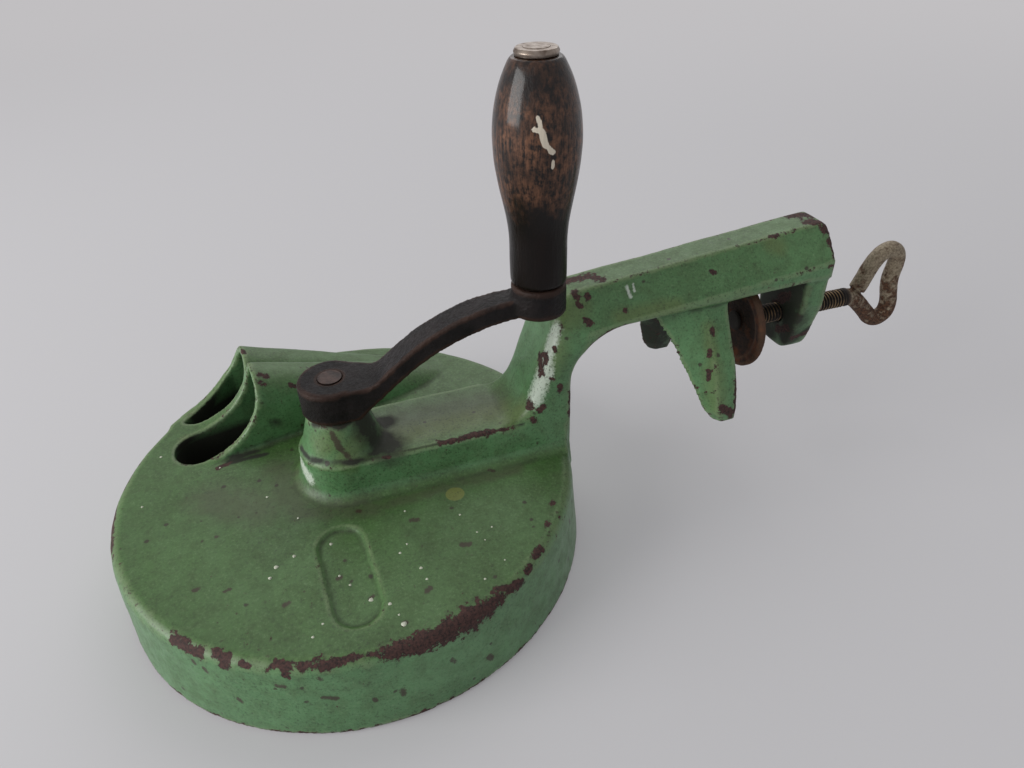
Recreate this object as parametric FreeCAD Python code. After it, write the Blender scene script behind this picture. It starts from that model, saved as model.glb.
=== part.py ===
import FreeCAD, Part
import math
import os

# Hand cranked bean slicer for a table edge, in millimetres, +Z up. It lies on the rim of its round
# cast housing. The origin is the centre of that rim, and +X runs from the crank axis to the clamp.

# Pan of the housing: a shallow drum, open below
pan_radius = 88.0
pan_height = 33.0
pan_wall = 4.5
pan_plate = 4.0
pan_wall_lean = 2.6
pan_edge_round = 4.0

# Rib on the pan, and the bearing boss at its rounded end
rib_rise = 14.5
rib_half_width = 17.4
rib_top_half_width = 15.9
rib_foot_flare = 4.5
rib_foot_height = 5.0
rib_edge_break = 1.0
boss_rise = 14.7
boss_foot_radius = 14.3
boss_top_radius = 10.6
boss_collar = 2.2
boss_collar_height = 1.6
inner_boss_radius = 15.0
inner_boss_drop = 11.0

# Oval recess cast in the pan, bare inside
oval_x = -7.3
oval_y = -51.7
oval_length = 44.0
oval_width = 16.8
oval_depth = 1.1
oval_draft = 1.0
oval_turn = 4.0

# Leaning column and clamp arm
arm_half_width = 15.9
arm_crest_half_width = 6.0
arm_bevel = 13.0
column_crest_half_width = 10.5
column_bevel = 5.0
bevel_reach = 60.0
arm_edge_round = 2.0
arm_end_round = 3.0
column_foot_x = 66.5
column_foot_round = 14.0
column_skirt_lean = 1.0
column_skirt_height = 11.0
elbow_x = 82.7
elbow_z = 93.9
elbow_round = 13.0
arm_end_x = 193.6
arm_crest_end_z = 104.6
arm_depth_at_end = 20.4
arch_top_z = 81.0
arch_round = 22.0

# Forked fixed jaw. Each level: height, inner side, outer side, ridge and front edge
jaw_face_x = 149.0
jaw_levels = (
    (90.0, -2.0, 11.0, 138.5, 116.0),
    (80.0, 2.0, 15.0, 139.2, 120.0),
    (70.0, 8.5, 20.0, 139.8, 126.0),
    (62.0, 13.5, 25.0, 140.2, 129.0),
    (52.0, 19.0, 29.0, 140.2, 133.0),
    (43.0, 22.5, 30.8, 140.8, 136.5),
    (38.0, 25.0, 30.8, 143.0, 140.5))
jaw_nose = 0.42
jaw_grinding = 0.4

# Lug with the threaded hole, and the clamp screw
lug_thickness = 9.9
lug_root_rise = 6.0
lug_root_inset = 1.0
lug_shoulder_half_width = 15.3
lug_shoulder_z = 73.0
lug_shoulder_round = 6.0
lug_edge_round = 1.2
lug_outer_inset = 0.4
lug_foot_half_width = 9.0
lug_foot_z = 48.8
lug_round = 7.5
screw_z = 63.2
screw_diameter = 8.0
thread_clearance = 0.08
pad_clearance = 0.4
pad_face_x = 163.1
pad_thickness = 4.5
pad_edge_thickness = 2.6
pad_edge_round = 1.0
pad_dish_depth = 1.6
pad_rim_width = 4.0
pad_hub_radius = 8.0
pad_hub_length = 2.4
pad_pin_diameter = 5.6
pad_pin_head_radius = 4.2
pad_pin_head_height = 1.2
pivot_clearance = 0.08

# Bean chutes: half width inside, wall, fall towards the knives; lengths run from the station
chute_half_width = 9.6
chute_wall = 3.2
chute_fall = 20.0
chute_station_x = -30.8
front_chute_y = 37.6
front_chute_ridge_z = 63.3
front_chute_yaw = 12.0
rear_chute_y = 60.6
rear_chute_ridge_z = 56.4
rear_chute_yaw = 4.0
chute_back_length = 34.5
chute_inner_length = 46.0
chute_outer_length = 84.0
mouth_x = -56.5
mouth_y = 23.0
mouth_radius = 29.0
mouth_yaw = 8.0

# Crank, shaft and grip
crank_radius = 73.7
crank_angle = -15.0
hub_radius = 11.7
hub_height = 12.9
hub_edge_round = 1.0
eye_radius = 9.1
eye_height = 10.9
eye_bottom_z = 98.4
eye_edge_round = 0.8
neck_half_width = 8.4
neck_length = 15.0
crank_half_width_eye = 4.3
crank_hub_bend = 3.0
crank_neck_bend = 8.0
crank_under_bend = (45.9, 96.0, 88.0)
crank_over_bend = (42.4, 100.0, 80.0)
crank_face_inset = 0.2
crank_eye_drop = 3.8
shaft_diameter = 12.0
shaft_rivet_diameter = 8.4
shaft_rivet_rise = 0.3
seat_gap = 0.3
running_clearance = 0.06
spindle_diameter = 7.0
grip_length = 68.2
grip_foot_radius = 9.1
grip_waist_radius = 9.3
grip_belly_radius = 13.1
grip_shoulder_radius = 7.9
grip_bore_clearance = 0.1
grip_cap_radius = 6.4
grip_cap_top_radius = 5.8
grip_cap_height = 2.1
grip_cap_bead_height = 1.1
grip_cap_gap = 0.1
spindle_rivet_radius = 3.9
spindle_rivet_rise = 0.2
spindle_foot_sink = 0.4

# Cutter disc, knives and their fasteners
cutter_gap = 2.2
cutter_thickness = 3.5
cutter_bottom_z = 9.0
cutter_hub_radius = 14.0
land_rise = 2.0
land_width = 11.0
knife_count = 3
first_knife_angle = 60.0
knife_start_radius = 24.0
knife_rim_margin = 4.0
knife_width = 15.0
knife_thickness = 2.0
knife_edge_bevel = 3.5
knife_edge_thickness = 0.25
slot_width = 11.0
slot_overlap = 4.0
knife_screw_inset = 9.0
knife_screw_diameter = 4.0
knife_screw_head_radius = 3.8
knife_screw_slot_half_width = 0.4
knife_screw_slot_depth = 0.8
shaft_square = 9.0
shaft_thread_diameter = 8.0
thrust_washer_radius = 11.0
thrust_washer_thickness = 1.2
lock_washer_radius = 7.4
lock_washer_thickness = 1.5
nut_across_flats = 13.0
nut_height = 5.8
shaft_end_z = 1.2
axial_gap = 0.1

# Loop handle bent from the screw's own rod: centre line as x, and height over the screw's axis
loop_rod_diameter = 7.0
loop_start_x = 218.0
loop_bends = (
    (220.6, -0.6), (223.4, -2.3), (227.0, -5.6), (232.0, -10.8), (237.4, -14.6),
    (241.6, -13.2), (242.8, -7.6), (241.0, -1.0), (239.8, 6.0), (240.3, 11.7),
    (239.2, 16.6), (235.4, 19.3), (231.4, 18.2), (228.2, 14.6), (225.7, 9.0), (223.1, 2.6))

# Places that follow from the sizes above
plate_z = pan_height
plate_under_z = pan_height - pan_plate
rib_top_z = plate_z + rib_rise
boss_top_z = rib_top_z + boss_rise
inner_boss_z = plate_under_z - inner_boss_drop
hub_bottom_z = boss_top_z + seat_gap
hub_top_z = hub_bottom_z + hub_height
eye_top_z = eye_bottom_z + eye_height
grip_bottom_z = eye_top_z + seat_gap
grip_top_z = grip_bottom_z + grip_length
land_top_z = cutter_bottom_z + cutter_thickness + land_rise
knife_top_z = land_top_z + knife_thickness
cutter_hub_top_z = inner_boss_z - thrust_washer_thickness - 2 * axial_gap
chute_end_z = knife_top_z + 0.6
pan_top_radius = pan_radius - pan_wall_lean
column_back_x = pan_top_radius + 0.2
cutter_radius = pan_radius - pan_wall - pan_wall_lean / 2 - cutter_gap
knife_end_radius = cutter_radius - knife_rim_margin
lug_inner_x = arm_end_x - lug_thickness
arm_end_under_z = arm_crest_end_z - arm_depth_at_end
under_arm_slope = (arm_end_under_z - arch_top_z) / (arm_end_x - column_back_x)
under_arm_at_jaw_z = arch_top_z + under_arm_slope * (jaw_face_x - column_back_x)
pad_radius = under_arm_at_jaw_z - screw_z - pad_clearance
pad_back_x = pad_face_x + pad_thickness
pad_hub_x = pad_back_x + pad_hub_length
bore_radius = shaft_diameter / 2 + running_clearance


def vector(x, y, z):
    return FreeCAD.Vector(x, y, z)


def rounded_wire(corners, place, closed=True):
    """Join (u, v, bend radius) corners by lines and tangent arcs; place turns u, v into a point."""
    points = [place(u, v) for u, v, _ in corners]
    count = len(points)
    cuts = []
    for i, (_, _, radius) in enumerate(corners):
        corner = points[i]
        is_end = not closed and i in (0, count - 1)
        if radius <= 0 or is_end:
            cuts.append((corner, None, corner))
            continue
        to_last = (points[i - 1] - corner).normalize()
        to_next = (points[(i + 1) % count] - corner).normalize()
        half_angle = to_last.getAngle(to_next) / 2
        reach = radius / math.tan(half_angle)
        inward = (to_last + to_next).normalize()
        middle = corner + inward * (radius / math.sin(half_angle) - radius)
        cuts.append((corner + to_last * reach, middle, corner + to_next * reach))
    edges = []
    for i, (start, middle, end) in enumerate(cuts):
        if middle is not None:
            edges.append(Part.Arc(start, middle, end).toShape())
        if closed or i < count - 1:
            following = cuts[(i + 1) % count][0]
            if (following - end).Length > 1e-6:
                edges.append(Part.LineSegment(end, following).toShape())
    return Part.Wire(edges)


def on_xz(y):
    return lambda u, v: vector(u, y, v)


def on_yz(x):
    return lambda u, v: vector(x, u, v)


def prism(wire, direction):
    return Part.Face(wire).extrude(direction)


def turned(corners):
    """Revolve a half profile of (radius, height, bend radius) corners about the Z axis."""
    wire = rounded_wire(corners, on_xz(0))
    return Part.Face(wire).revolve(vector(0, 0, 0), vector(0, 0, 1), 360)


def cylinder(radius, low_z, high_z, x=0.0, y=0.0):
    return Part.makeCylinder(radius, high_z - low_z, vector(x, y, low_z))


def rod_along_x(radius, low_x, high_x, z):
    return Part.makeCylinder(radius, high_x - low_x, vector(low_x, 0, z), vector(1, 0, 0))


def box(low, high):
    size = [b - a for a, b in zip(low, high)]
    return Part.makeBox(size[0], size[1], size[2], vector(*low))


def obround(half_length, half_width, place):
    """Closed slot outline along u, centred on 0, 0."""
    run = half_length - half_width
    points = [
        (run, -half_width), (half_length, 0), (run, half_width),
        (-run, half_width), (-half_length, 0), (-run, -half_width)]
    a, b, c, d, e, f = [place(u, v) for u, v in points]
    return Part.Wire([
        Part.Arc(a, b, c).toShape(), Part.LineSegment(c, d).toShape(),
        Part.Arc(d, e, f).toShape(), Part.LineSegment(f, a).toShape()])


def pan():
    """Drum shell with a leaning wall, a rounded upper edge and a flat plate on top."""
    lean = pan_wall_lean / pan_height
    inner_top = pan_radius - pan_wall - lean * plate_under_z
    return turned([
        (0, plate_under_z, 0),
        (inner_top, plate_under_z, 2.5),
        (pan_radius - pan_wall, 0, 0.8),
        (pan_radius, 0, 0.8),
        (pan_top_radius, plate_z, pan_edge_round),
        (0, plate_z, 0)])


def rib_outline(half_width, z):
    """Rounded at the crank axis and straight on to the back of the column."""
    end_x = column_back_x - 0.5
    along = [vector(end_x, -half_width, z), vector(0, -half_width, z),
             vector(-half_width, 0, z), vector(0, half_width, z), vector(end_x, half_width, z)]
    return Part.Wire([
        Part.LineSegment(along[0], along[1]).toShape(),
        Part.Arc(along[1], along[2], along[3]).toShape(),
        Part.LineSegment(along[3], along[4]).toShape(),
        Part.LineSegment(along[4], along[0]).toShape()])


def rib():
    """Tapered rib whose foot flares out to the plate in a quarter round, and a broken top edge."""
    foot_z = plate_z + rib_foot_height
    steps = [(plate_z - pan_plate / 2, rib_half_width + rib_foot_flare)]
    for turn in (15, 45, 75):
        out = rib_foot_flare * (1 - math.sin(math.radians(turn)))
        up = rib_foot_height * (1 - math.cos(math.radians(turn)))
        steps.append((plate_z + up, rib_half_width + out))
    steps.append((foot_z, rib_half_width))
    steps.append((rib_top_z - rib_edge_break, rib_top_half_width))
    steps.append((rib_top_z, rib_top_half_width - rib_edge_break))
    body = Part.makeLoft([rib_outline(width, z) for z, width in steps], True, True)
    return body.common(cylinder(pan_top_radius - 0.3, 0, rib_top_z + 1))


def bearing_boss():
    outside = turned([
        (0, rib_top_z - 1.0, 0),
        (boss_foot_radius + boss_collar, rib_top_z - 1.0, 0),
        (boss_foot_radius, rib_top_z + boss_collar_height, 3.0),
        (boss_top_radius, boss_top_z, 1.2),
        (0, boss_top_z, 0)])
    inside = cylinder(inner_boss_radius, inner_boss_z, plate_under_z + 1.0)
    return outside.fuse(inside)


def side_point(start, direction, reach, out, up):
    """Point beside the crest line that starts at (x, z): out from the middle plane, and above."""
    outward = vector(-direction.z, 0, direction.x)
    return vector(start[0], out, start[1]) + direction * reach + outward * up


def bevel_wedge(start, end, crest, depth, side, fades):
    """Takes off one upper edge between two points of the crest, and beyond unless it fades out."""
    along = (vector(end[0], 0, end[1]) - vector(start[0], 0, start[1])).normalize()
    length = math.hypot(end[0] - start[0], end[1] - start[1])
    run = arm_half_width - crest

    def triangle(reach, size):
        edge = arm_half_width - size * run
        corners = [(edge - size * run / 2, size * depth / 2), (arm_half_width + run / 2, size * depth / 2),
                   (arm_half_width + run / 2, -size * depth - depth / 2)]
        points = [side_point(start, along, reach, side * out, up) for out, up in corners]
        return Part.makePolygon(points + points[:1])

    first = triangle(column_foot_round / 2, 0.02) if fades else triangle(-bevel_reach, 1.0)
    return Part.makeLoft([first, triangle(length + bevel_reach, 1.0)], True, True)


def column_and_arm():
    """One side outline, as wide as the arm, with its upper edges bevelled and its lower eased."""
    buried_z = plate_z - pan_plate / 2
    foot = (column_foot_x, rib_top_z - 0.4)
    elbow = (elbow_x, elbow_z)
    crest_end = (arm_end_x, arm_crest_end_z)
    skirt_z = plate_z - column_skirt_height
    corners = [
        (foot[0] - column_foot_round, buried_z, 0),
        (foot[0] - column_foot_round, foot[1], 0),
        (foot[0], foot[1], column_foot_round),
        (elbow[0], elbow[1], elbow_round),
        (crest_end[0], crest_end[1], arm_end_round),
        (arm_end_x, arm_end_under_z, 0),
        (column_back_x, arch_top_z, arch_round),
        (column_back_x, plate_z, 0),
        (column_back_x + column_skirt_lean, skirt_z, 0),
        (column_back_x - pan_wall / 2, skirt_z - column_skirt_height, 0),
        (column_back_x - pan_wall / 2, buried_z, 0)]
    body = prism(rounded_wire(corners, on_xz(-arm_half_width)), vector(0, 2 * arm_half_width, 0))
    under = [e for e in body.Edges
             if e.BoundBox.YLength < 0.01 and e.BoundBox.XMin > column_back_x - 0.1
             and e.BoundBox.ZMax < arm_end_under_z + 0.1]
    body = body.makeFillet(arm_edge_round, under)
    for side in (-1, 1):
        body = body.cut(bevel_wedge(elbow, crest_end, arm_crest_half_width, arm_bevel, side, False))
        body = body.cut(bevel_wedge(foot, elbow, column_crest_half_width, column_bevel, side, True))
    return body


def prong_section(z, inner_y, outer_y, ridge_x, front_x):
    nose_y = inner_y + jaw_nose * (outer_y - inner_y)
    cast_x = jaw_face_x + jaw_grinding
    corners = [
        (cast_x, inner_y), (cast_x, outer_y), (ridge_x, outer_y),
        (front_x, nose_y), (ridge_x, inner_y)]
    points = [vector(x, y, z) for x, y in corners]
    return Part.makePolygon(points + points[:1])


def prong():
    """One claw of the fixed jaw: it splays outwards and thins to its tip, with a ridge in front."""
    return Part.makeLoft([prong_section(*level) for level in jaw_levels], True, True)


def fixed_jaw():
    """Both claws, cast a little long and ground back to one flat face towards the pad."""
    near = prong()
    far = near.mirror(vector(0, 0, 0), vector(0, 1, 0))
    ground_off = box((jaw_face_x, -arm_end_x, 0), (jaw_face_x + 2 * jaw_grinding, arm_end_x, arm_crest_end_z))
    return near.fuse(far).cut(ground_off)


def lug():
    """Plate under the arm's end, its lower edges eased, with room for the screw's thread."""
    root_z = arm_end_under_z + lug_root_rise
    root_half_width = arm_half_width - lug_root_inset
    corners = [
        (-root_half_width, root_z, 0),
        (-lug_shoulder_half_width, lug_shoulder_z, lug_shoulder_round),
        (-lug_foot_half_width, lug_foot_z, lug_round),
        (lug_foot_half_width, lug_foot_z, lug_round),
        (lug_shoulder_half_width, lug_shoulder_z, lug_shoulder_round),
        (root_half_width, root_z, 0)]
    outline = rounded_wire(corners, on_yz(lug_inner_x))
    plate = prism(outline, vector(lug_thickness - lug_outer_inset, 0, 0))
    edges = [e for e in plate.Edges
             if e.BoundBox.XLength < 0.01 and e.BoundBox.ZMax < root_z - 0.1]
    return plate.makeFillet(lug_edge_round, edges)


def heading_at(yaw):
    return vector(math.cos(math.radians(yaw)), math.sin(math.radians(yaw)), 0)


def chute_tube(half_width, ridge_z, y, yaw, start, end):
    """Upright section with a round top and deep sides, swept straight down towards the knives."""
    heading = heading_at(yaw)
    sideways = vector(-heading.y, heading.x, 0)
    fall = heading - vector(0, 0, math.tan(math.radians(chute_fall)))
    top = vector(chute_station_x, y, ridge_z) + fall * start
    shoulder = ridge_z - half_width
    left, right = [top + sideways * side * half_width - vector(0, 0, half_width) for side in (1, -1)]
    deep = vector(0, 0, 2 * shoulder)
    section = Part.Wire([
        Part.Arc(right, top, left).toShape(), Part.LineSegment(left, left - deep).toShape(),
        Part.LineSegment(left - deep, right - deep).toShape(),
        Part.LineSegment(right - deep, right).toShape()])
    return prism(section, fall * (end - start))


def chute_plan(half_width, y, yaw, start, end, low_z, high_z):
    """Upright slot with round ends, in plan around the tube."""
    heading = heading_at(yaw)
    sideways = vector(-heading.y, heading.x, 0)
    centre = vector(chute_station_x, y, low_z) + heading * (start + end) / 2

    def place(u, v):
        return centre + heading * u + sideways * v

    return prism(obround((end - start) / 2, half_width, place), vector(0, 0, high_z - low_z))


def chute_hood(y, ridge_z, yaw):
    """Hood above the plate and the duct below it, with one wall all round the passage."""
    wide = chute_half_width + chute_wall
    back = -chute_back_length - chute_wall
    hood = chute_tube(wide, ridge_z, y, yaw, back, chute_outer_length)
    hood = hood.common(cylinder(2 * pan_radius, plate_under_z, 2 * ridge_z))
    duct = chute_plan(wide, y, yaw, back, chute_inner_length + chute_wall, chute_end_z, plate_z - 1)
    return hood.fuse(duct)


def chute_passage(y, ridge_z, yaw):
    tube = chute_tube(chute_half_width, ridge_z - chute_wall, y, yaw,
                      -chute_back_length - chute_wall, chute_inner_length + chute_wall)
    plan = chute_plan(chute_half_width, y, yaw, -chute_back_length, chute_inner_length,
                      chute_end_z - 1, 2 * ridge_z)
    return tube.common(plan)


def mouth_cutter():
    """Takes away what stands above the plate in front of the scooped mouths."""
    wide = 2 * pan_radius
    tall = 2 * mouth_radius
    axis_z = plate_z + mouth_radius
    scoop = Part.makeCylinder(mouth_radius, 2 * wide, vector(mouth_x, mouth_y - wide, axis_z),
                              vector(0, 1, 0))
    front = box((mouth_x - wide, mouth_y - wide, plate_z), (mouth_x, mouth_y + wide, plate_z + tall))
    above = box((mouth_x - 1, mouth_y - wide, axis_z),
                (mouth_x + mouth_radius, mouth_y + wide, axis_z + tall))
    cutter = scoop.fuse(front).fuse(above)
    cutter.rotate(vector(mouth_x, mouth_y, 0), vector(0, 0, 1), mouth_yaw)
    return cutter


def chutes():
    """Both hoods with their ducts, kept inside the pan's outline and above the knives."""
    front = chute_hood(front_chute_y, front_chute_ridge_z, front_chute_yaw)
    rear = chute_hood(rear_chute_y, rear_chute_ridge_z, rear_chute_yaw)
    keep = cylinder(pan_top_radius - 0.4, chute_end_z, 2 * front_chute_ridge_z)
    return front.fuse(rear).cut(mouth_cutter()).common(keep)


def chute_passages():
    front = chute_passage(front_chute_y, front_chute_ridge_z, front_chute_yaw)
    rear = chute_passage(rear_chute_y, rear_chute_ridge_z, rear_chute_yaw)
    keep = cylinder(pan_top_radius - pan_wall, 0, 2 * front_chute_ridge_z)
    clear_of_boss = cylinder(inner_boss_radius + 2, 0, 2 * front_chute_ridge_z)
    return front.fuse(rear).common(keep).cut(clear_of_boss)


def oval_recess():
    """Shallow slot with sloping sides, lying across the pan."""
    def level(inset, z):
        def place(u, v):
            return vector(v, u, z)
        return obround(oval_length / 2 - inset, oval_width / 2 - inset, place)

    rise = 0.5
    flare = oval_draft * rise / oval_depth
    pocket = Part.makeLoft([level(oval_draft, -oval_depth), level(-flare, rise)], True, True)
    pocket.rotate(vector(0, 0, 0), vector(0, 0, 1), oval_turn)
    pocket.translate(vector(oval_x, oval_y, plate_z))
    return pocket


def housing():
    """The one iron casting that carries everything else."""
    body = pan().fuse(chutes()).cut(chute_passages())
    for piece in (rib(), bearing_boss(), column_and_arm(), fixed_jaw(), lug()):
        body = body.fuse(piece)
    body = body.cut(oval_recess())
    body = body.cut(cylinder(bore_radius, inner_boss_z - 1, boss_top_z + 1))
    thread_radius = screw_diameter / 2 + thread_clearance
    thread = rod_along_x(thread_radius, lug_inner_x - 1, arm_end_x + 1, screw_z)
    return body.cut(thread).removeSplitter()


def crank_direction():
    angle = math.radians(crank_angle)
    return vector(math.cos(angle), math.sin(angle), 0)


def crank_arm():
    """Forged swan neck between the hub and the eye, rectangular in section and tapering outwards."""
    along = crank_direction()
    across = vector(-along.y, along.x, 0)

    def on_side(offset):
        return lambda u, v: along * u + across * offset + vector(0, 0, v)

    def on_plan(u, v):
        return along * u + across * v

    start_x = hub_radius / 3
    last_x = crank_radius - eye_radius / 2
    corners = [
        (start_x, hub_bottom_z, 0),
        (hub_radius - 1.5, hub_bottom_z, crank_hub_bend),
        crank_under_bend,
        (last_x, eye_bottom_z + crank_face_inset, 0),
        (last_x, eye_top_z - crank_eye_drop, 0),
        crank_over_bend,
        (neck_length, hub_top_z - crank_face_inset, crank_neck_bend),
        (start_x, hub_top_z - crank_face_inset, 0)]
    side = rounded_wire(corners, on_side(-hub_radius))
    blank = prism(side, across * (2 * hub_radius))
    half_widths = [(0, hub_radius - 0.5), (neck_length, neck_half_width),
                   (crank_radius, crank_half_width_eye)]
    outline = [on_plan(u, -v) for u, v in half_widths] + [on_plan(u, v) for u, v in half_widths[::-1]]
    bar = blank.common(prism(Part.makePolygon(outline + outline[:1]), vector(0, 0, eye_top_z)))
    hub = Part.makeCylinder(hub_radius, hub_height, vector(0, 0, hub_bottom_z))
    hub = hub.makeFillet(hub_edge_round, [e for e in hub.Edges if e.Length > hub_radius * 6])
    centre = along * crank_radius
    eye = Part.makeCylinder(eye_radius, eye_height, centre + vector(0, 0, eye_bottom_z))
    eye = eye.makeFillet(eye_edge_round, [e for e in eye.Edges if e.Length > eye_radius * 6])
    shape = hub.fuse(bar).fuse(eye)
    shape = shape.cut(cylinder(shaft_rivet_diameter / 2, hub_bottom_z - 1, hub_top_z + 1))
    spindle_hole = cylinder(spindle_diameter / 2, eye_bottom_z - 1, eye_top_z + 1, centre.x, centre.y)
    return shape.cut(spindle_hole)


def crank_shaft():
    """Journal in the boss, riveted in the crank above, square and threaded below."""
    journal = cylinder(shaft_diameter / 2, cutter_hub_top_z, hub_bottom_z)
    rivet = cylinder(shaft_rivet_diameter / 2, hub_bottom_z, hub_top_z + shaft_rivet_rise)
    thread = cylinder(shaft_thread_diameter / 2, shaft_end_z, cutter_bottom_z)
    square = shaft_square_bar(cutter_bottom_z, cutter_hub_top_z)
    return journal.fuse(rivet).fuse(square).fuse(thread)


def knife_frame(index):
    """Placement that carries one knife's own x (radial), y (travel) and z to its place."""
    angle = first_knife_angle + 360.0 * index / knife_count
    return FreeCAD.Placement(vector(0, 0, 0), FreeCAD.Rotation(vector(0, 0, 1), angle))


def in_place(shape, index):
    moved = shape.copy()
    moved.Placement = knife_frame(index)
    return moved


def knife_box(low_y, high_y, low_z, high_z, extra):
    """Block along a knife, longer than the blade by the extra length at each end."""
    low = (knife_start_radius - extra, low_y, low_z)
    return box(low, (knife_end_radius + extra, high_y, high_z))


def screw_places():
    land_y = -land_width / 2
    return [(knife_start_radius + knife_screw_inset, land_y),
            (knife_end_radius - knife_screw_inset, land_y)]


def shaft_square_bar(low_z, high_z):
    half = shaft_square / 2
    square = box((-half, -half, low_z), (half, half, high_z))
    return square.common(cylinder(shaft_diameter / 2, low_z, high_z))


def cutter_disc():
    """Plate with a hub, and a raised land and a slot for each knife."""
    top_z = cutter_bottom_z + cutter_thickness
    plate = turned([
        (0, cutter_bottom_z, 0), (cutter_radius, cutter_bottom_z, 0.8),
        (cutter_radius, top_z, 0.8), (0, top_z, 0)])
    disc = plate.fuse(cylinder(cutter_hub_radius, cutter_bottom_z, cutter_hub_top_z))
    land = knife_box(-land_width, 0, top_z - 0.5, land_top_z, -1.0)
    slot = knife_box(0, slot_width, cutter_bottom_z - 1, top_z + 1, slot_overlap / 2)
    for i in range(knife_count):
        disc = disc.fuse(in_place(land, i)).cut(in_place(slot, i))
        for x, y in screw_places():
            hole = cylinder(knife_screw_diameter / 2, cutter_bottom_z - 1, land_top_z + 1, x, y)
            disc = disc.cut(in_place(hole, i))
    return disc.cut(shaft_square_bar(cutter_bottom_z - 1, cutter_hub_top_z + 1))


def knife(index):
    """Flat blade on its land, with a bevelled edge over the slot and two countersunk holes."""
    back_y = -land_width + 0.5
    front_y = back_y + knife_width
    profile = [
        (back_y, land_top_z, 0), (front_y, land_top_z, 0),
        (front_y, land_top_z + knife_edge_thickness, 0),
        (front_y - knife_edge_bevel, knife_top_z, 0), (back_y, knife_top_z, 0)]
    length = knife_end_radius - knife_start_radius
    blade = prism(rounded_wire(profile, on_yz(knife_start_radius)), vector(length, 0, 0))
    for x, y in screw_places():
        blade = blade.cut(cylinder(knife_screw_diameter / 2, land_top_z - 1, knife_top_z + 1, x, y))
        blade = blade.cut(screw_head(x, y))
    return in_place(blade, index)


def screw_head(x, y):
    drop = knife_screw_head_radius - knife_screw_diameter / 2
    return Part.makeCone(knife_screw_diameter / 2, knife_screw_head_radius, drop,
                         vector(x, y, knife_top_z - drop))


def knife_screws():
    """Countersunk screws with a plain slot, two to a knife."""
    solids = []
    reach = 2 * knife_screw_head_radius
    half = knife_screw_slot_half_width
    for x, y in screw_places():
        shank = cylinder(knife_screw_diameter / 2, cutter_bottom_z, knife_top_z - 0.5, x, y)
        slot = box((x - reach, y - half, knife_top_z - knife_screw_slot_depth),
                   (x + reach, y + half, knife_top_z + 1))
        screw = shank.fuse(screw_head(x, y)).cut(slot)
        solids += [in_place(screw, i) for i in range(knife_count)]
    return Part.makeCompound(solids)


def thrust_washer():
    low = cutter_hub_top_z + axial_gap
    ring = cylinder(thrust_washer_radius, low, low + thrust_washer_thickness)
    return ring.cut(cylinder(shaft_diameter / 2 + running_clearance, low - 1, low + 5))


def lock_washer():
    high = cutter_bottom_z
    low = high - lock_washer_thickness
    ring = cylinder(lock_washer_radius, low, high)
    return ring.cut(cylinder(shaft_thread_diameter / 2, low - 1, high + 1))


def shaft_nut():
    high = cutter_bottom_z - lock_washer_thickness
    corner = nut_across_flats / math.sqrt(3)
    points = [vector(corner * math.cos(math.radians(60 * i)), corner * math.sin(math.radians(60 * i)),
                     high - nut_height) for i in range(7)]
    blank = prism(Part.makePolygon(points), vector(0, 0, nut_height))
    chamfer = Part.makeCone(nut_across_flats / 2, nut_across_flats / 2 + 6, 6,
                            vector(0, 0, high - nut_height))
    return blank.common(chamfer).cut(cylinder(shaft_thread_diameter / 2, 0, high + 1))


def at_grip(shape):
    moved = shape.copy()
    moved.translate(crank_direction() * crank_radius)
    return moved


def grip_spindle():
    """Pin riveted in the crank's eye, through the grip and over the cap."""
    head_z = grip_top_z + grip_cap_height
    pin = cylinder(spindle_diameter / 2, eye_bottom_z - spindle_foot_sink, head_z)
    head = turned([
        (0, head_z, 0), (spindle_rivet_radius, head_z, 0),
        (spindle_rivet_radius - spindle_rivet_rise, head_z + spindle_rivet_rise, 0.1),
        (0, head_z + spindle_rivet_rise, 0)])
    return at_grip(pin.fuse(head))


def grip():
    """Turned wooden grip: narrow at its foot, full above the middle, drawn in under the cap."""
    outline = [
        vector(grip_foot_radius, 0, grip_bottom_z + 0.8),
        vector(grip_foot_radius + 0.1, 0, grip_bottom_z + 0.13 * grip_length),
        vector(grip_waist_radius, 0, grip_bottom_z + 0.25 * grip_length),
        vector(0.5 * (grip_waist_radius + grip_belly_radius), 0, grip_bottom_z + 0.425 * grip_length),
        vector(grip_belly_radius, 0, grip_bottom_z + 0.7 * grip_length),
        vector(0.9 * grip_belly_radius, 0, grip_bottom_z + 0.84 * grip_length),
        vector(grip_shoulder_radius, 0, grip_top_z - 0.9)]
    curve = Part.BSplineCurve()
    curve.interpolate(outline)
    bore = spindle_diameter / 2 + grip_bore_clearance
    low, high = outline[0], outline[-1]
    rim = [vector(high.x - 0.9, 0, grip_top_z), vector(bore, 0, grip_top_z),
           vector(bore, 0, grip_bottom_z), vector(low.x - 0.8, 0, grip_bottom_z)]
    path = [high] + rim + [low]
    edges = [curve.toShape()]
    edges += [Part.LineSegment(a, b).toShape() for a, b in zip(path, path[1:])]
    return at_grip(Part.Face(Part.Wire(edges)).revolve(vector(0, 0, 0), vector(0, 0, 1), 360))


def grip_cap():
    """Plated button over the spindle's end, with a round bead at its foot and a flat top."""
    low = grip_top_z + grip_cap_gap
    top = grip_top_z + grip_cap_height
    ring = turned([
        (spindle_diameter / 2, low, 0), (grip_cap_radius - 0.3, low, 0.2),
        (grip_cap_radius, low + grip_cap_bead_height, 0.5), (grip_cap_top_radius, top, 0.3),
        (spindle_diameter / 2, top, 0)])
    return at_grip(ring)


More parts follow.
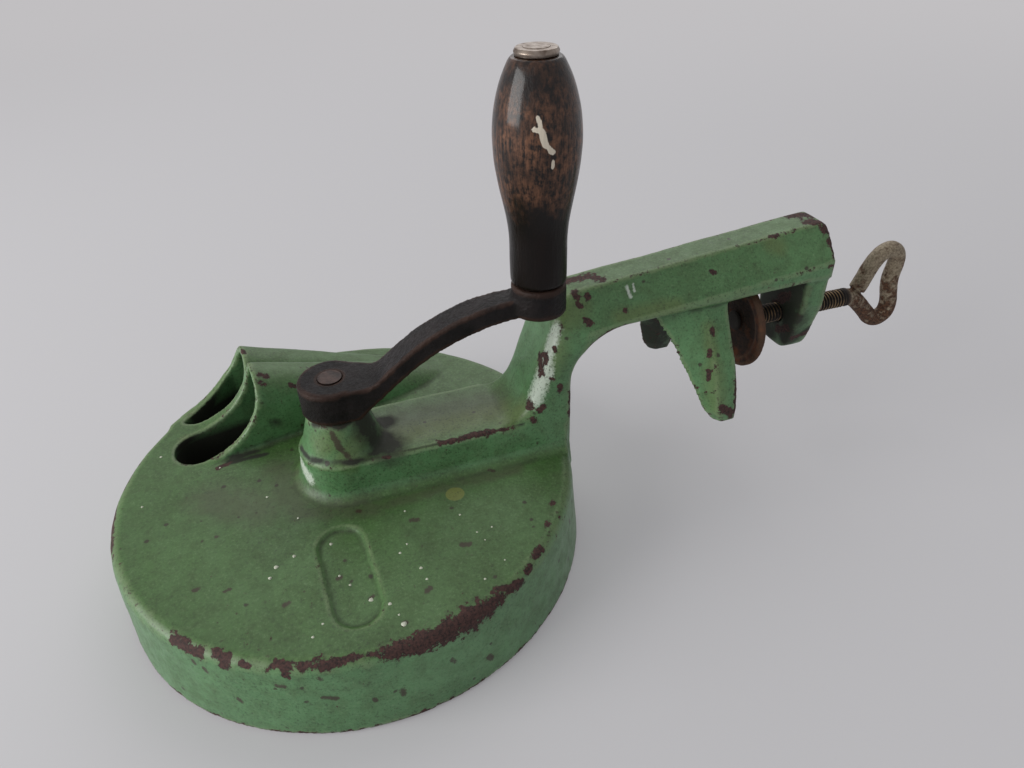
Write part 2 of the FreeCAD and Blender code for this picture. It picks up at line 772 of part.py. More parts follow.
def clamp_pad():
    """Dished disc with a hub behind, turned about the screw's axis."""
    def place(u, v):
        return vector(v, 0, screw_z + u)

    bore = pad_pin_diameter / 2 + pivot_clearance
    corners = [
        (bore, pad_face_x + pad_dish_depth, 0),
        (pad_radius - pad_rim_width - 2, pad_face_x + pad_dish_depth, 2.0),
        (pad_radius - pad_rim_width, pad_face_x, 0.6),
        (pad_radius, pad_face_x, pad_edge_round),
        (pad_radius, pad_face_x + pad_edge_thickness, pad_edge_round),
        (pad_hub_radius + 1.5, pad_back_x, 1.0),
        (pad_hub_radius, pad_hub_x, 0.8),
        (bore, pad_hub_x, 0)]
    face = Part.Face(rounded_wire(corners, place))
    return face.revolve(vector(0, 0, screw_z), vector(1, 0, 0), 360)


def loop_path():
    curve = Part.BSplineCurve()
    curve.interpolate([vector(loop_start_x, 0, screw_z)]
                      + [vector(x, 0, screw_z + rise) for x, rise in loop_bends])
    return Part.Wire([curve.toShape()])


def clamp_screw():
    """Threaded rod with a pivot pin and head at the pad, bent into a loop at the other end."""
    pin_start = pad_face_x + pad_dish_depth - 0.3
    pin = rod_along_x(pad_pin_diameter / 2, pin_start - 0.2, pad_hub_x + 1, screw_z)
    head = rod_along_x(pad_pin_head_radius, pin_start - pad_pin_head_height, pin_start, screw_z)
    head = head.makeFillet(0.7, [e for e in head.Edges if e.BoundBox.XMax < pin_start - 0.5])
    shank = rod_along_x(screw_diameter / 2, pad_hub_x + 0.3, loop_start_x, screw_z)
    section = Part.makeCircle(loop_rod_diameter / 2, vector(loop_start_x, 0, screw_z), vector(1, 0, 0))
    loop = loop_path().makePipeShell([Part.Wire(section)], True, False)
    return shank.fuse(pin).fuse(head).fuse(loop)


def write(name, shape):
    solids = shape.Solids
    good = all(solid.isValid() and solid.isClosed() for solid in solids)
    volume = sum(solid.Volume for solid in solids)
    bound = shape.BoundBox
    print(f"{name}: {len(solids)} solid(s), valid {good}, {volume / 1000:.2f} cm3, "
          f"z {bound.ZMin:.1f} to {bound.ZMax:.1f}, x {bound.XMin:.1f} to {bound.XMax:.1f}")
    shape.exportStep(f"parts/{name}.step")


def main():
    os.makedirs("parts", exist_ok=True)
    write("housing", housing())
    write("crank_arm", crank_arm())
    write("crank_shaft", crank_shaft())
    write("thrust_washer", thrust_washer())
    write("cutter_disc", cutter_disc())
    for i in range(knife_count):
        write(f"knife_{i + 1}", knife(i))
    write("knife_screws", knife_screws())
    write("lock_washer", lock_washer())
    write("shaft_nut", shaft_nut())
    write("grip_spindle", grip_spindle())
    write("grip", grip())
    write("grip_cap", grip_cap())
    write("clamp_pad", clamp_pad())
    write("clamp_screw", clamp_screw())


main()
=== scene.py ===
# %% [markdown]
# # A hand cranked bean slicer, dressed
#
# The object is an old kitchen tool: a round housing of cast iron in worn green enamel, a forged
# iron crank with a wooden grip, and a rusty clamp screw bent into a loop. Its shape, sizes and
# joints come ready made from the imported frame. This file gives it the skin of a used casting,
# a real thread, its finishes, a floor, light and a camera.

# %% Load the frame
import math

import bpy
import numpy as np
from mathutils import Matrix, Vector, noise


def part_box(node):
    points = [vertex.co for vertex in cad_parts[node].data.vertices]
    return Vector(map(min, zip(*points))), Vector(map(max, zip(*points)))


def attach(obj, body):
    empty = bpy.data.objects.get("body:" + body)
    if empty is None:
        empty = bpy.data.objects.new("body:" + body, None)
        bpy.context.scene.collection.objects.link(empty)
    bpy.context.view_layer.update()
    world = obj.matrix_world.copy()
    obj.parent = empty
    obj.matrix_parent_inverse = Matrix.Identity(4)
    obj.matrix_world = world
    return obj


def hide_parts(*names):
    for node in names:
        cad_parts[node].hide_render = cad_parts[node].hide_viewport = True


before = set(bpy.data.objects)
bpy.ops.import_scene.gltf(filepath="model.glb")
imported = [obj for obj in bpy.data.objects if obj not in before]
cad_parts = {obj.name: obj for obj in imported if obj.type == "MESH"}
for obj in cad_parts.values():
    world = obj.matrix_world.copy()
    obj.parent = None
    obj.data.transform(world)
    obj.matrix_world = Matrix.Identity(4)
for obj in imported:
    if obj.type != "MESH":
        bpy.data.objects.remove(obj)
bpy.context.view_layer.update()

print("nodes:", sorted(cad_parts))

# %% [markdown]
# ## The camera
#
# The photograph was taken with a phone held above the near side of the pan, looking down at
# about 36 degrees. Such a camera has a wide lens, so near parts look large. The place and the
# three angles were worked out from the outlines of the pan and of the arm. They could be set by
# eye instead, but then no edge would fall where the photograph has it.

# %% Camera
camera_data = bpy.data.cameras.new("phone_camera")
camera_data.sensor_width = 36.0
camera_data.lens = 25.61
camera_data.clip_start = 0.01
camera_place = (0.0, -0.2181, 0.2225)
camera_angles = (53.76, 1.68, -18.24)
camera = bpy.data.objects.new("phone_camera", camera_data)
camera.location = camera_place
camera.rotation_euler = [math.radians(angle) for angle in camera_angles]
bpy.context.collection.objects.link(camera)
bpy.context.scene.camera = camera
print("camera at", tuple(round(c, 4) for c in camera.location), "lens", camera_data.lens, "mm")

# %% [markdown]
# ## Colours and nodes
#
# A colour is easiest to read off a screen as a hex value, which is in sRGB. Blender's shaders
# count in linear light, so one function turns the one into the other.
#
# A material is a small net of nodes. It could be drawn by hand in the shader editor. Here one
# function adds a node, sets its own properties and fills its inputs with values, colours or the
# outputs of other nodes, so that each line below reads as one node of the net.


# %% Two helpers
def linear(hex_colour):
    """sRGB hex to a linear RGBA colour."""
    channels = [int(hex_colour[i:i + 2], 16) / 255 for i in (1, 3, 5)]
    bent = [c / 12.92 if c <= 0.04045 else ((c + 0.055) / 1.055) ** 2.4 for c in channels]
    return (*bent, 1.0)


def add(material, kind, inputs=None, **settings):
    """Add one node to a material, with its settings and its inputs, by name or by number.

    An input takes a value, a hex colour, a socket, or a node, which stands for its first output.
    """
    tree = material.node_tree
    node = tree.nodes.new("ShaderNode" + kind)
    for name, value in settings.items():
        setattr(node, name, value)
    for name, value in (inputs or {}).items():
        if isinstance(value, str):
            value = linear(value)
        if isinstance(value, bpy.types.Node):
            value = value.outputs[0]
        if isinstance(value, bpy.types.NodeSocket):
            tree.links.new(value, node.inputs[name])
        else:
            node.inputs[name].default_value = value
    return node


print("mid grey", [round(c, 3) for c in linear("#808080")])

# %% [markdown]
# ## Floor and light
#
# The tool lies on a plain pale table. The floor is one large disc. Near the tool it is a matt
# surface that takes the shadow, with 30 % of the background's pale tone mixed in. Further out
# it turns into that tone altogether, so that no horizon line shows. The Light Path node gives
# the tone only to what the camera, a gloss or a glass sees, so it adds no light to the tool.
#
# The photograph has one broad window at the left, a white wall behind the tool and a dimmer
# room behind the camera. A big soft lamp stands in for the window, a second one for the wall
# and the world for the room. A wall mirrored in a gloss isn't one bright square, so its lamp
# shows there at a quarter of its strength.

# %% Floor
backdrop_tone = linear("#c1bfc1")


def seen_directly(tree_owner):
    """1 for rays of the camera, of a gloss and of a glass, 0 for rays that carry light."""
    rays = add(tree_owner, "LightPath")
    camera_ray, gloss_ray, glass_ray = (
        rays.outputs[f"Is {kind} Ray"] for kind in ("Camera", "Glossy", "Transmission"))
    either = add(tree_owner, "Math", {0: camera_ray, 1: gloss_ray}, operation="MAXIMUM")
    return add(tree_owner, "Math", {0: either, 1: glass_ray}, operation="MAXIMUM")


floor_paint = bpy.data.materials.new("pale_table")
floor_paint.use_nodes = True
floor_paint.node_tree.nodes.clear()
place = add(floor_paint, "TexCoord").outputs["Object"]
distance = add(floor_paint, "VectorMath", {0: place}, operation="LENGTH").outputs["Value"]
fade = add(floor_paint, "MapRange", {0: distance, 1: 0.35, 2: 1.4, 3: 0.3, 4: 1.0},
           interpolation_type="SMOOTHSTEP")
fade = add(floor_paint, "Math", {0: fade, 1: seen_directly(floor_paint)}, operation="MULTIPLY")
table_top = add(floor_paint, "BsdfDiffuse", {"Color": "#cfcdcf"})
far_off = add(floor_paint, "Emission", {"Color": backdrop_tone, "Strength": 1.0})
surface = add(floor_paint, "MixShader", {0: fade, 1: table_top, 2: far_off})
add(floor_paint, "OutputMaterial", {"Surface": surface})

floor_mesh = bpy.data.meshes.new("table")
floor_radius = 12.0
floor_z = -0.0002
floor_sides = 96
around = [2 * math.pi * i / floor_sides for i in range(floor_sides)]
floor_mesh.from_pydata(
    [(floor_radius * math.cos(a), floor_radius * math.sin(a), floor_z) for a in around],
    [], [list(range(floor_sides))])
floor_mesh.materials.append(floor_paint)
floor = bpy.data.objects.new("table", floor_mesh)
bpy.context.collection.objects.link(floor)

# %% Room light and window
world = bpy.data.worlds.new("room")
bpy.context.scene.world = world
world.use_nodes = True
world.node_tree.nodes.clear()
room = add(world, "Background", {"Color": (0.93, 0.96, 1.0, 1.0), "Strength": 0.4})
wall = add(world, "Background", {"Color": backdrop_tone, "Strength": 1.0})
surface = add(world, "MixShader", {0: seen_directly(world), 1: room, 2: wall})
add(world, "OutputWorld", {"Surface": surface})


def soft_lamp(name, place, target, size, power, colour, gloss_share):
    """A square area lamp that faces the target."""
    data = bpy.data.lights.new(name, "AREA")
    data.shape = "SQUARE"
    data.size = size
    data.energy = power
    data.color = colour
    data.specular_factor = gloss_share
    lamp = bpy.data.objects.new(name, data)
    lamp.location = place
    lamp.rotation_euler = (Vector(target) - Vector(place)).to_track_quat("-Z", "Y").to_euler()
    bpy.context.collection.objects.link(lamp)


middle = (0.06, 0.0, 0.04)
soft_lamp("window", (-1.2, -0.16, 0.5), middle, 0.9, 14.5, (1.0, 1.0, 0.99), 1.0)
soft_lamp("white_wall", (0.45, 1.1, 1.25), middle, 1.7, 10.5, (1.0, 0.99, 0.98), 0.25)
bpy.context.scene.view_settings.view_transform = "Standard"
print("floor, room light and two lamps made")

# %% [markdown]
# ## The skin of a casting
#
# Iron poured into sand is never as crisp as its drawing. Its edges are soft, its flats swell
# and dip by one or two tenths of a millimetre, and the sand leaves a fine grain. A forging and a much
# used wooden grip are uneven in the same way, only finer.
#
# Sculpting by hand would do it, and so would a displacement texture. Here each such piece is
# copied from its CAD node and remeshed into small even faces. The copy is smoothed a little
# and its points are moved along their normals by smooth noise, in code, so that the size of
# each effect is a number in millimetres. Points close to a bore keep their place, because a
# shaft or a screw runs there. No point leaves the box of the CAD node.

# %% Even faces
millimetre = 0.001


def even_copy(node, name, face_size):
    """A new mesh over a CAD node, made of even faces of about face_size mm."""
    blank = bpy.data.objects.new(name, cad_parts[node].data.copy())
    bpy.context.collection.objects.link(blank)
    blank.data.materials.clear()
    remesh = blank.modifiers.new("even faces", "REMESH")
    remesh.mode = "VOXEL"
    remesh.voxel_size = face_size * millimetre
    remesh.use_smooth_shade = True
    seen_by = bpy.context.evaluated_depsgraph_get()
    mesh = bpy.data.meshes.new_from_object(blank.evaluated_get(seen_by))
    bpy.data.objects.remove(blank)
    piece = bpy.data.objects.new(name, mesh)
    bpy.context.collection.objects.link(piece)
    print(name, "has", len(mesh.vertices), "points")
    return piece


# %% [markdown]
# Smoothing needs to know which points are neighbours. `numpy` works on all points at once, which
# is far quicker than a loop. The same neighbour sums also tell how strongly the surface bends:
# where the middle of the neighbours lies under a point, the point is on an edge, and where it
# lies over it, in a crease. Edges lose their paint first and creases keep the dirt, so both are
# kept for the materials.

# %% Smoothing and bending
def points_of(mesh):
    points = np.empty(len(mesh.vertices) * 3)
    mesh.vertices.foreach_get("co", points)
    return points.reshape(-1, 3) / millimetre


def normals_of(mesh):
    normals = np.empty(len(mesh.vertices) * 3)
    mesh.vertices.foreach_get("normal", normals)
    return normals.reshape(-1, 3)


def put_points(mesh, points):
    mesh.vertices.foreach_set("co", (points * millimetre).ravel())
    mesh.update()


def pairs_of(mesh):
    pairs = np.empty(len(mesh.edges) * 2, dtype=np.int64)
    mesh.edges.foreach_get("vertices", pairs)
    return pairs.reshape(-1, 2)


def neighbour_mean(values, pairs):
    """For each point, the mean of a quantity over its neighbours."""
    count = np.bincount(pairs.ravel(), minlength=len(values))
    columns = values.reshape(len(values), -1).T
    sums = [np.bincount(pairs[:, 0], column[pairs[:, 1]], len(values))
            + np.bincount(pairs[:, 1], column[pairs[:, 0]], len(values)) for column in columns]
    mean = np.array(sums).T / np.maximum(count, 1)[:, None]
    return mean.reshape(values.shape)


def smoothed(points, pairs, rounds, keep):
    """Evened out in a few rounds; keep is 1 where a point has to stay."""
    for _ in range(rounds):
        step = 0.5 * (neighbour_mean(points, pairs) - points)
        points = points + step * (1 - keep)[:, None]
    return points


def bending(points, normals, pairs, spread):
    """How far each point stands over its neighbours, in mm, evened over some rounds."""
    over = np.einsum("ij,ij->i", points - neighbour_mean(points, pairs), normals)
    for _ in range(spread):
        over = 0.5 * over + 0.5 * neighbour_mean(over, pairs)
    return over


# %% [markdown]
# Wear, dirt and extra softness have places. They are laid down as strokes, like strokes of a
# brush: from one point to another, with a half width, in millimetres. A stroke is 1 in its
# middle and fades to 0 at its edge.


# %% Strokes
def strokes(points, rows):
    """The strongest stroke at each point; a row is (from, to, half width)."""
    value = np.zeros(len(points))
    for start, end, width in rows:
        start, end = np.array(start, dtype=float), np.array(end, dtype=float)
        run = end - start
        share = np.clip((points - start) @ run / max(run @ run, 1e-9), 0, 1)
        away = np.linalg.norm(points - start - share[:, None] * run, axis=1)
        value = np.maximum(value, np.clip(1 - away / width, 0, 1))
    return value


# %% [markdown]
# The noise has no seed to forget: it is a fixed pattern in space. Each layer has a wavelength
# and a height, both in millimetres. Points near a bore are found by their distance from its axis.

# %% Uneven surface
def unevenness(points, layers):
    """Sum of noise layers at each point; a layer is (wavelength mm, height mm)."""
    total = np.zeros(len(points))
    for wavelength, height in layers:
        total += height * np.array([noise.noise(Vector(p)) for p in points / wavelength])
    return total


def near_axis(points, start, direction, reach, radius):
    """1 for points within a radius of a line, 0 beyond it, with a fade of 1 mm."""
    offset = points - np.array(start)
    direction = np.array(direction, dtype=float)
    along = offset @ direction
    away = np.linalg.norm(offset - along[:, None] * direction, axis=1)
    inside = np.clip(radius + 1.0 - away, 0, 1)
    return inside * ((along > -1) & (along < reach + 1))


def set_value(mesh, name, values):
    """Store a number for each point, which a material can read by that name."""
    mesh.attributes.new(name, "FLOAT", "POINT").data.foreach_set("value", values.astype(np.float32))


def worn_copy(node, name, face_size, rounds, layers, bores, soft=(), soft_rounds=0):
    """Even copy of a CAD node, softened and made uneven, with its edges and creases noted."""
    piece = even_copy(node, name, face_size)
    mesh = piece.data
    pairs = pairs_of(mesh)
    points = points_of(mesh)
    keep = np.zeros(len(points))
    for start, direction, reach, radius in bores:
        keep = np.maximum(keep, near_axis(points, start, direction, reach, radius))
    points = smoothed(points, pairs, rounds, keep)
    if soft_rounds:
        points = smoothed(points, pairs, soft_rounds, 1 - np.minimum(2 * strokes(points, soft), 1))
    put_points(mesh, points)
    normals = normals_of(mesh)
    bend = bending(points, normals, pairs, 3)
    swell = unevenness(points, layers) * (1 - keep)
    points = points + normals * swell[:, None]
    low, high = [np.array(corner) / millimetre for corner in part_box(node)]
    put_points(mesh, np.clip(points, low, high))
    sharp = 0.045 * face_size
    set_value(mesh, "edge", np.clip(bend / sharp, 0, 1))
    set_value(mesh, "crease", np.clip(-bend / sharp, 0, 1))
    print(name, "bends from", round(float(bend.min()), 3), "to", round(float(bend.max()), 3), "mm")
    return piece

# %% [markdown]
# ## The housing
#
# The housing is one casting: pan, hoods, rib, boss, column, arm, claws and lug. Its bores are
# the bearing of the crank and the thread in the lug. The two front corners of the column are
# much rounder than its other edges, so they are smoothed for many more rounds.

# %% Housing
shaft_bore = ((0, 0, 0), (0, 0, 1), 64.0, 7.0)
screw_hole = ((183.0, 0, 63.2), (1, 0, 0), 11.0, 5.2)

column_corners = [((80, side * 14, 86), (70, side * 15, 50), 13.0) for side in (-1, 1)]

housing = worn_copy("housing", "housing_casting", face_size=0.8, rounds=2,
                    layers=[(22.0, 0.25), (7.0, 0.12), (2.2, 0.05)],
                    bores=[shaft_bore, screw_hole], soft=column_corners, soft_rounds=90)
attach(housing, "frame")
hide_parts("housing")

# %% [markdown]
# ## Where the paint has gone
#
# The chips and dirt of a real tool lie where it is knocked and handled: along the near
# rim of the pan, on the ridge of the column, round the elbow and on the claws. Noise alone puts
# them everywhere alike. So the main ones are laid down as strokes, and the material breaks
# their edges up with noise. The drips of white paint on the arm are strokes too, and so are a
# painted highlight on the rounded corner of the column and the end of the rib, and painted
# shade on the boss's side toward the column.


# %% Chips on the housing
chips = [
    # near rim of the pan, from left to right
    ((-62, -57, 32), (-58, -61.5, 31.6), 3.4), ((-57, -62, 32), (-54, -65.4, 31), 3.0),
    ((-49.6, -66.8, 32.6), (-46, -70.5, 31.8), 3.0), ((-46, -70, 32), (-47.5, -70.8, 30), 3.0),
    ((-42, -73.5, 31.7), (-40.5, -74.5, 31.5), 1.9), ((-32.5, -77.6, 32.3), (-29, -79.2, 32), 3.0),
    ((-31, -79.4, 31), (-30, -80, 29.8), 2.6), ((-25, -80.2, 32.2), (-17, -82.9, 31.6), 3.2),
    ((-17, -82.5, 32.2), (-11, -82.9, 32.4), 2.6), ((-9, -83, 32.5), (-3, -84, 32.2), 1.6),
    ((-1, -84.2, 32), (9, -84.6, 31.2), 4.6), ((9, -84.2, 31.3), (20, -82.3, 31.2), 6.2),
    ((20, -82.2, 31.2), (31, -79, 31.2), 7.4), ((30, -79.2, 31.2), (36.5, -76.3, 31.6), 5.0),
    ((37.6, -74, 32.8), (38.6, -73.8, 32.6), 2.4), ((40.8, -74.2, 31.6), (45.8, -71.6, 30.6), 2.6),
    ((48, -69.6, 31.8), (49.4, -68.4, 31.8), 2.2), ((53, -64.2, 32.6), (55.4, -62.4, 32.4), 2.6),
    ((61, -54, 32.8), (61.8, -53, 32.7), 2.2), ((66, -45, 33), (67, -44, 32.8), 2.2),
    ((-84, -18, 32), (-85, 10, 31.5), 2.0), ((-83, 18, 32), (-80, 30, 31.8), 1.7),
    # front edge of the rib
    ((34, -15, 47.3), (44, -15.3, 47.2), 2.2), ((44, -14.6, 47.5), (54, -15.2, 47.2), 2.6),
    ((57, -15.3, 47.3), (62, -15.4, 47.2), 1.7), ((12, -15.5, 47.1), (15, -15.6, 47), 1.3),
    # column
    ((75.3, -9, 72), (74.6, -12.4, 67.4), 3.2), ((76.4, -11.5, 73.4), (75.6, -12.8, 71.6), 2.4),
    ((68.9, -12.6, 55), (69.2, -13.6, 53.4), 2.7), ((73.7, -15.6, 54), (73, -15.7, 52.4), 2.5),
    ((69.4, -15.7, 49.2), (70.4, -15.8, 48.4), 2.2), ((80.5, -15.6, 62), (80.3, -15.7, 60), 2.0),
    ((77.4, -14.8, 66), (77.8, -15, 64.8), 1.7), ((79, -13.8, 78), (79.6, -14.2, 76.6), 1.8),
    # elbow and the shoulder of the arm
    ((90, 2.5, 94.8), (98.5, 1.5, 95.4), 3.8), ((98.5, 0.5, 95.4), (101.5, -4, 95.6), 3.0),
    ((89.7, -6, 94.2), (90, -7, 93.2), 3.2), ((93.4, -7.3, 93), (94, -8, 92.2), 2.2),
    ((89.8, -8.7, 91), (90.3, -9.3, 90.2), 2.2), ((91.7, -12.8, 85.8), (92.4, -13, 85), 2.7),
    # lower edge of the arch
    ((86.0, -15.6, 58), (85.8, -15.6, 46), 3.0), ((88, -15.4, 68), (93, -15.5, 76), 2.4),
    ((93, -15.5, 76), (99, -15.4, 80.2), 2.4), ((99, -15.4, 80.5), (108, -15.4, 81.4), 2.2),
    # arm and its end
    ((106.5, -12.8, 87.2), (107, -13.2, 86.6), 1.9), ((142.5, -10, 94.5), (143.2, -10.5, 94), 1.8),
    ((184, 5, 104), (192, 1, 103.8), 4.2), ((187, -3, 104.1), (193, -7.5, 101.5), 4.6),
    ((192.6, -8, 101), (193.4, -11.5, 97), 2.8), ((193.4, -12, 96), (193.6, -15, 88), 1.8),
    # claws
    ((141, -18, 74), (141, -18.5, 72), 1.7), ((139.2, -21.3, 67.4), (139, -22, 65.5), 1.8),
    ((138, -24.5, 60), (137.5, -25.5, 57), 1.7), ((142, -30.5, 46), (147, -31, 41), 3.4),
    ((143, -28, 39), (149, -27, 38.5), 3.4), ((148.5, -17, 70), (148.8, -29, 52), 2.2),
    ((148.8, -29, 52), (148.8, -30.5, 42), 2.6), ((120, -15.2, 81.8), (124, -15.4, 79.8), 1.8),
    ((126.5, -16.5, 70), (129, -19.5, 60), 1.5), ((132, -23.6, 52), (136, -27, 43), 1.7),
    ((136, 16, 70), (140, 28, 46), 6.0), ((186, -11.2, 56), (192, -11.4, 57.5), 2.6),
    ((183.8, -3, 56), (183.8, -9, 60), 3.0), ((183.8, 2, 66), (183.8, -5, 74), 4.0),
    # hoods
    ((-29.8, 43, 60), (-30.6, 41.4, 61.4), 2.4), ((-32.6, 61, 56.6), (-31.6, 59, 56.4), 2.2),
    ((-25.4, 33.5, 60.6), (-23, 33.2, 60), 2.4), ((-26, 30.5, 59), (-24.4, 30.2, 58.4), 1.9),
    ((-15.4, 31.4, 54.4), (-14.2, 31.4, 53.8), 2.2), ((-48, 16.4, 33.2), (-44, 18.6, 33.4), 2.0),
]

# %% Smudges on the housing
smudges = [
    # spots on the pan
    ((17.0, -35.2, 33), (18.8, -36, 33), 2.7), ((31, -52.4, 33), (33.4, -53, 33), 2.4),
    ((15.4, -67.4, 33), (16.6, -66.4, 33), 2.3), ((-0.4, -24.5, 33), (0.4, -24.7, 33), 2.0),
    ((-49, -20, 33), (-48.6, -20.2, 33), 1.5), ((-55.6, -41.6, 33), (-54.4, -41.4, 33), 1.8),
    ((-46.4, -45.6, 33), (-44.6, -45.2, 33), 1.6), ((-28.2, -57.2, 33), (-27, -57, 33), 1.9),
    ((-10.9, -51.6, 31.9), (-10.2, -51.4, 31.9), 1.9), ((6, -76.8, 33), (6.4, -76.4, 33), 1.8),
    ((-2.4, -63.2, 31.9), (-1.4, -62.6, 31.9), 1.7), ((50, -20.6, 33), (52, -21.4, 33), 1.6),
    # streak down the boss
    ((-3.6, -11.4, 60), (-1.4, -13.6, 53), 2.6), ((-1.4, -13.6, 53), (1, -15, 49.5), 2.2),
    # wall of the pan
    ((1.2, -86.8, 15.2), (1.6, -86.8, 12.6), 2.2), ((18, -84.6, 19.4), (19, -84.4, 17.6), 2.0),
    ((30.6, -81.7, 10.4), (31.4, -81.4, 8.6), 2.0), ((-21.6, -83.8, 18.8), (-18, -84.6, 17.8), 1.9),
    ((-46.9, -73, 15), (-46.2, -73.4, 14), 1.9), ((-34, -79, 24.6), (-31.6, -79.9, 24.4), 1.6),
    ((-21.3, -83.1, 28), (-20.9, -83.3, 27.2), 1.8), ((-54.4, -66.6, 25.4), (-53.8, -67, 24.4), 1.8),
    ((-57.4, -64, 27.4), (-56.8, -64.4, 26.2), 1.7), ((-7.4, -86.5, 14.4), (-7, -86.5, 13.4), 1.5),
    ((57, -62, 22), (58, -61.4, 19), 2.0), ((72, -46, 24), (72.6, -45, 21), 2.0),
]

# %% Painted highlights, paint drips and stains on the housing
highlights_and_drips = [
    # painted highlight on the rounded corner of the column
    ((79.5, -11.5, 85), (78, -12, 79), 4.6), ((78, -12, 79), (76, -12.6, 73), 4.4),
    ((76, -13, 72), (73, -13.8, 65), 4.4), ((74, -13.6, 67), (70.5, -14, 57), 6.0),
    ((77.4, -14, 70), (77, -14.6, 66), 2.6),
    # painted highlight on the rounded end of the rib
    ((-16.5, -3, 43), (-14.6, -9, 40), 4.2),
    # drips of white paint on the arm
    ((109, -8.2, 94), (109.6, -10.5, 90.5), 1.0), ((111.6, -8, 94.2), (111.6, -9.4, 92.2), 0.8),
]

olive_stains = [
    ((169, -7.6, 100), (171, -8.5, 98.8), 5.5), ((-8, -11, 55), (-4, -13, 58), 8.0),
    ((82, -11, 88), (88, -9, 90), 9.0), ((76, -13, 70), (79, -14, 78), 8.0),
    ((0, -14.5, 50), (8, -13, 56), 8.0), ((-61, 40, 33.5), (-40, 26, 40), 4.0),
    ((-58, 56, 34), (-40, 60, 48), 5.0), ((60, -10, 47.5), (66, -12, 52), 8.0),
    ((140, -17, 75), (140, -24, 62), 4.0), ((20, -6, 48), (60, -6, 48), 9.0),
    ((140, -24, 60), (141, -29, 46), 6.0), ((104, -15, 86), (126, -15, 86), 5.0),
]

# %% Grime, painted shade and dust on the housing
grime_and_shade = [
    # joint of hub and boss, streaks down the boss, and painted shade on the boss's side toward the column
    ((-9, -6, 61.6), (0, -10.8, 61.6), 2.2), ((0, -10.8, 61.6), (9, -6, 61.6), 2.6),
    ((9, -6, 61.6), (10, 4, 61.6), 3.0), ((8, -10, 60), (12, -10, 49), 4.6),
    ((16, -14.8, 47.7), (38, -15.3, 47.5), 0.9), ((52, -15.3, 47.5), (66, -15.4, 47.4), 0.9),
    ((12, -6, 60), (16, -7, 48), 6.0), ((12, 2, 60), (17, 4, 48), 6.0),
    ((-13, -9, 48.4), (2, -16, 48.2), 1.8), ((2, -15.6, 48.2), (16, -14.6, 48), 1.8),
    ((-16, 0, 48.4), (-13, -9, 48.4), 1.5), ((10, -8, 60), (15, -10, 48), 11.0),
    # far claw, lug and the holes round the screw
    ((136, 10, 80), (142, 28, 42), 16.0), ((184, -9, 56), (184, -9, 80), 9.0),
    ((184, 5, 52), (184, 6, 82), 14.0), ((193.4, -3, 57), (193.4, 4, 70), 8.0),
    ((150, 4, 84), (182, 4, 85), 12.0),
    # creases at the hood, the column and the rim of the oval
    ((-42, 20, 34), (-14, 24, 36), 2.4), ((-16, 24, 36), (2, 16, 34), 3.0),
    ((-44, 18.4, 33.2), (-30, 19, 33.2), 2.0), ((-24, 24, 42), (-2, 18, 36), 4.0),
    ((183.7, 4, 58), (183.7, -6, 76), 12.0), ((184.2, -9, 56), (184.2, -12, 68), 5.0),
    ((187, -12, 56), (193, -12, 60), 3.4), ((135, 22, 52), (141, 26, 42), 14.0),
]

dust = [
    ((-26, 6, 33), (-21, -12, 33), 12.0), ((-20, -18, 33), (6, -25, 33), 7.0),
    ((8, -25, 33), (60, -23, 33), 4.5), ((-50, 0, 33), (-34, -10, 33), 14.0),
    ((20, 2, 47.5), (56, 2, 47.5), 13.0),
]

# %% Strokes as attributes
points = points_of(housing.data)
for name, rows in (("chips", chips), ("smudges", smudges), ("highlights_and_drips", highlights_and_drips),
                   ("stains", olive_stains), ("grime_and_shade", grime_and_shade), ("dust", dust)):
    set_value(housing.data, name, strokes(points, rows))
    print(len(rows), "strokes of", name)

# %% [markdown]
# The chutes and the inside of the pan get painted shade, darker with depth, down to near black.
# The shallow oval in the pan's top is left out, so that it keeps the tone of the top round it.
# The steep walls inside the mouths of the hoods darken too, with grime and painted shade.

# %% Dark places
pan_inner_radius = 81.8
oval_middle = (-7.3, -51.7)
oval_reach = 24
dark_from_z, full_dark_below = 33.4, 5.0
mouth_top_z, mouth_fade = 46, 14
steep = 0.55
mouths = [((-58, 35, 33), (-26, 37, 44), 12.0), ((-54, 58, 33), (-30, 60, 42), 11.0)]

in_pan = np.hypot(points[:, 0], points[:, 1]) < pan_inner_radius
in_oval = np.hypot(points[:, 0] - oval_middle[0], points[:, 1] - oval_middle[1]) < oval_reach
depth = np.clip((dark_from_z - points[:, 2]) / full_dark_below, 0, 1) * in_pan * (1 - in_oval)
mouth_shade_and_grime = np.clip(3.0 * strokes(points, mouths) - 0.6, 0, 1)
mouth_shade_and_grime *= np.clip((mouth_top_z - points[:, 2]) / mouth_fade, 0, 1)
mouth_shade_and_grime *= normals_of(housing.data)[:, 2] < steep
set_value(housing.data, "depth", np.maximum(depth, mouth_shade_and_grime))
print("dark with depth:", int((depth > 0).sum()), "points, mouths:", int((mouth_shade_and_grime > 0).sum()))

# %% [markdown]
# ## The other worn pieces
#
# The crank is forged: hammered hot between dies, so its edges are rounded and scale has left
# pits. The clamp pad is a smaller rough part of the same kind. The grip is turned beech whose
# shape has been worn by hands; it is only a little uneven.

# %% Crank, pad and grip
shaft_hole = ((0, 0, 62.0), (0, 0, 1), 14.0, 5.6)
spindle_place = (71.189, -19.075)
spindle_hole = ((*spindle_place, 98.0), (0, 0, 1), 11.0, 4.0)
grip_hole = ((*spindle_place, 108.0), (0, 0, 1), 73.0, 4.2)
pad_hole = ((163.0, 0, 63.2), (1, 0, 0), 8.0, 4.6)

crank = worn_copy("crank_arm", "crank_forging", face_size=0.6, rounds=3,
                  layers=[(12.0, 0.22), (3.5, 0.12), (1.6, 0.07)],
                  bores=[shaft_hole, spindle_hole])
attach(crank, "crank_body")
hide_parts("crank_arm")

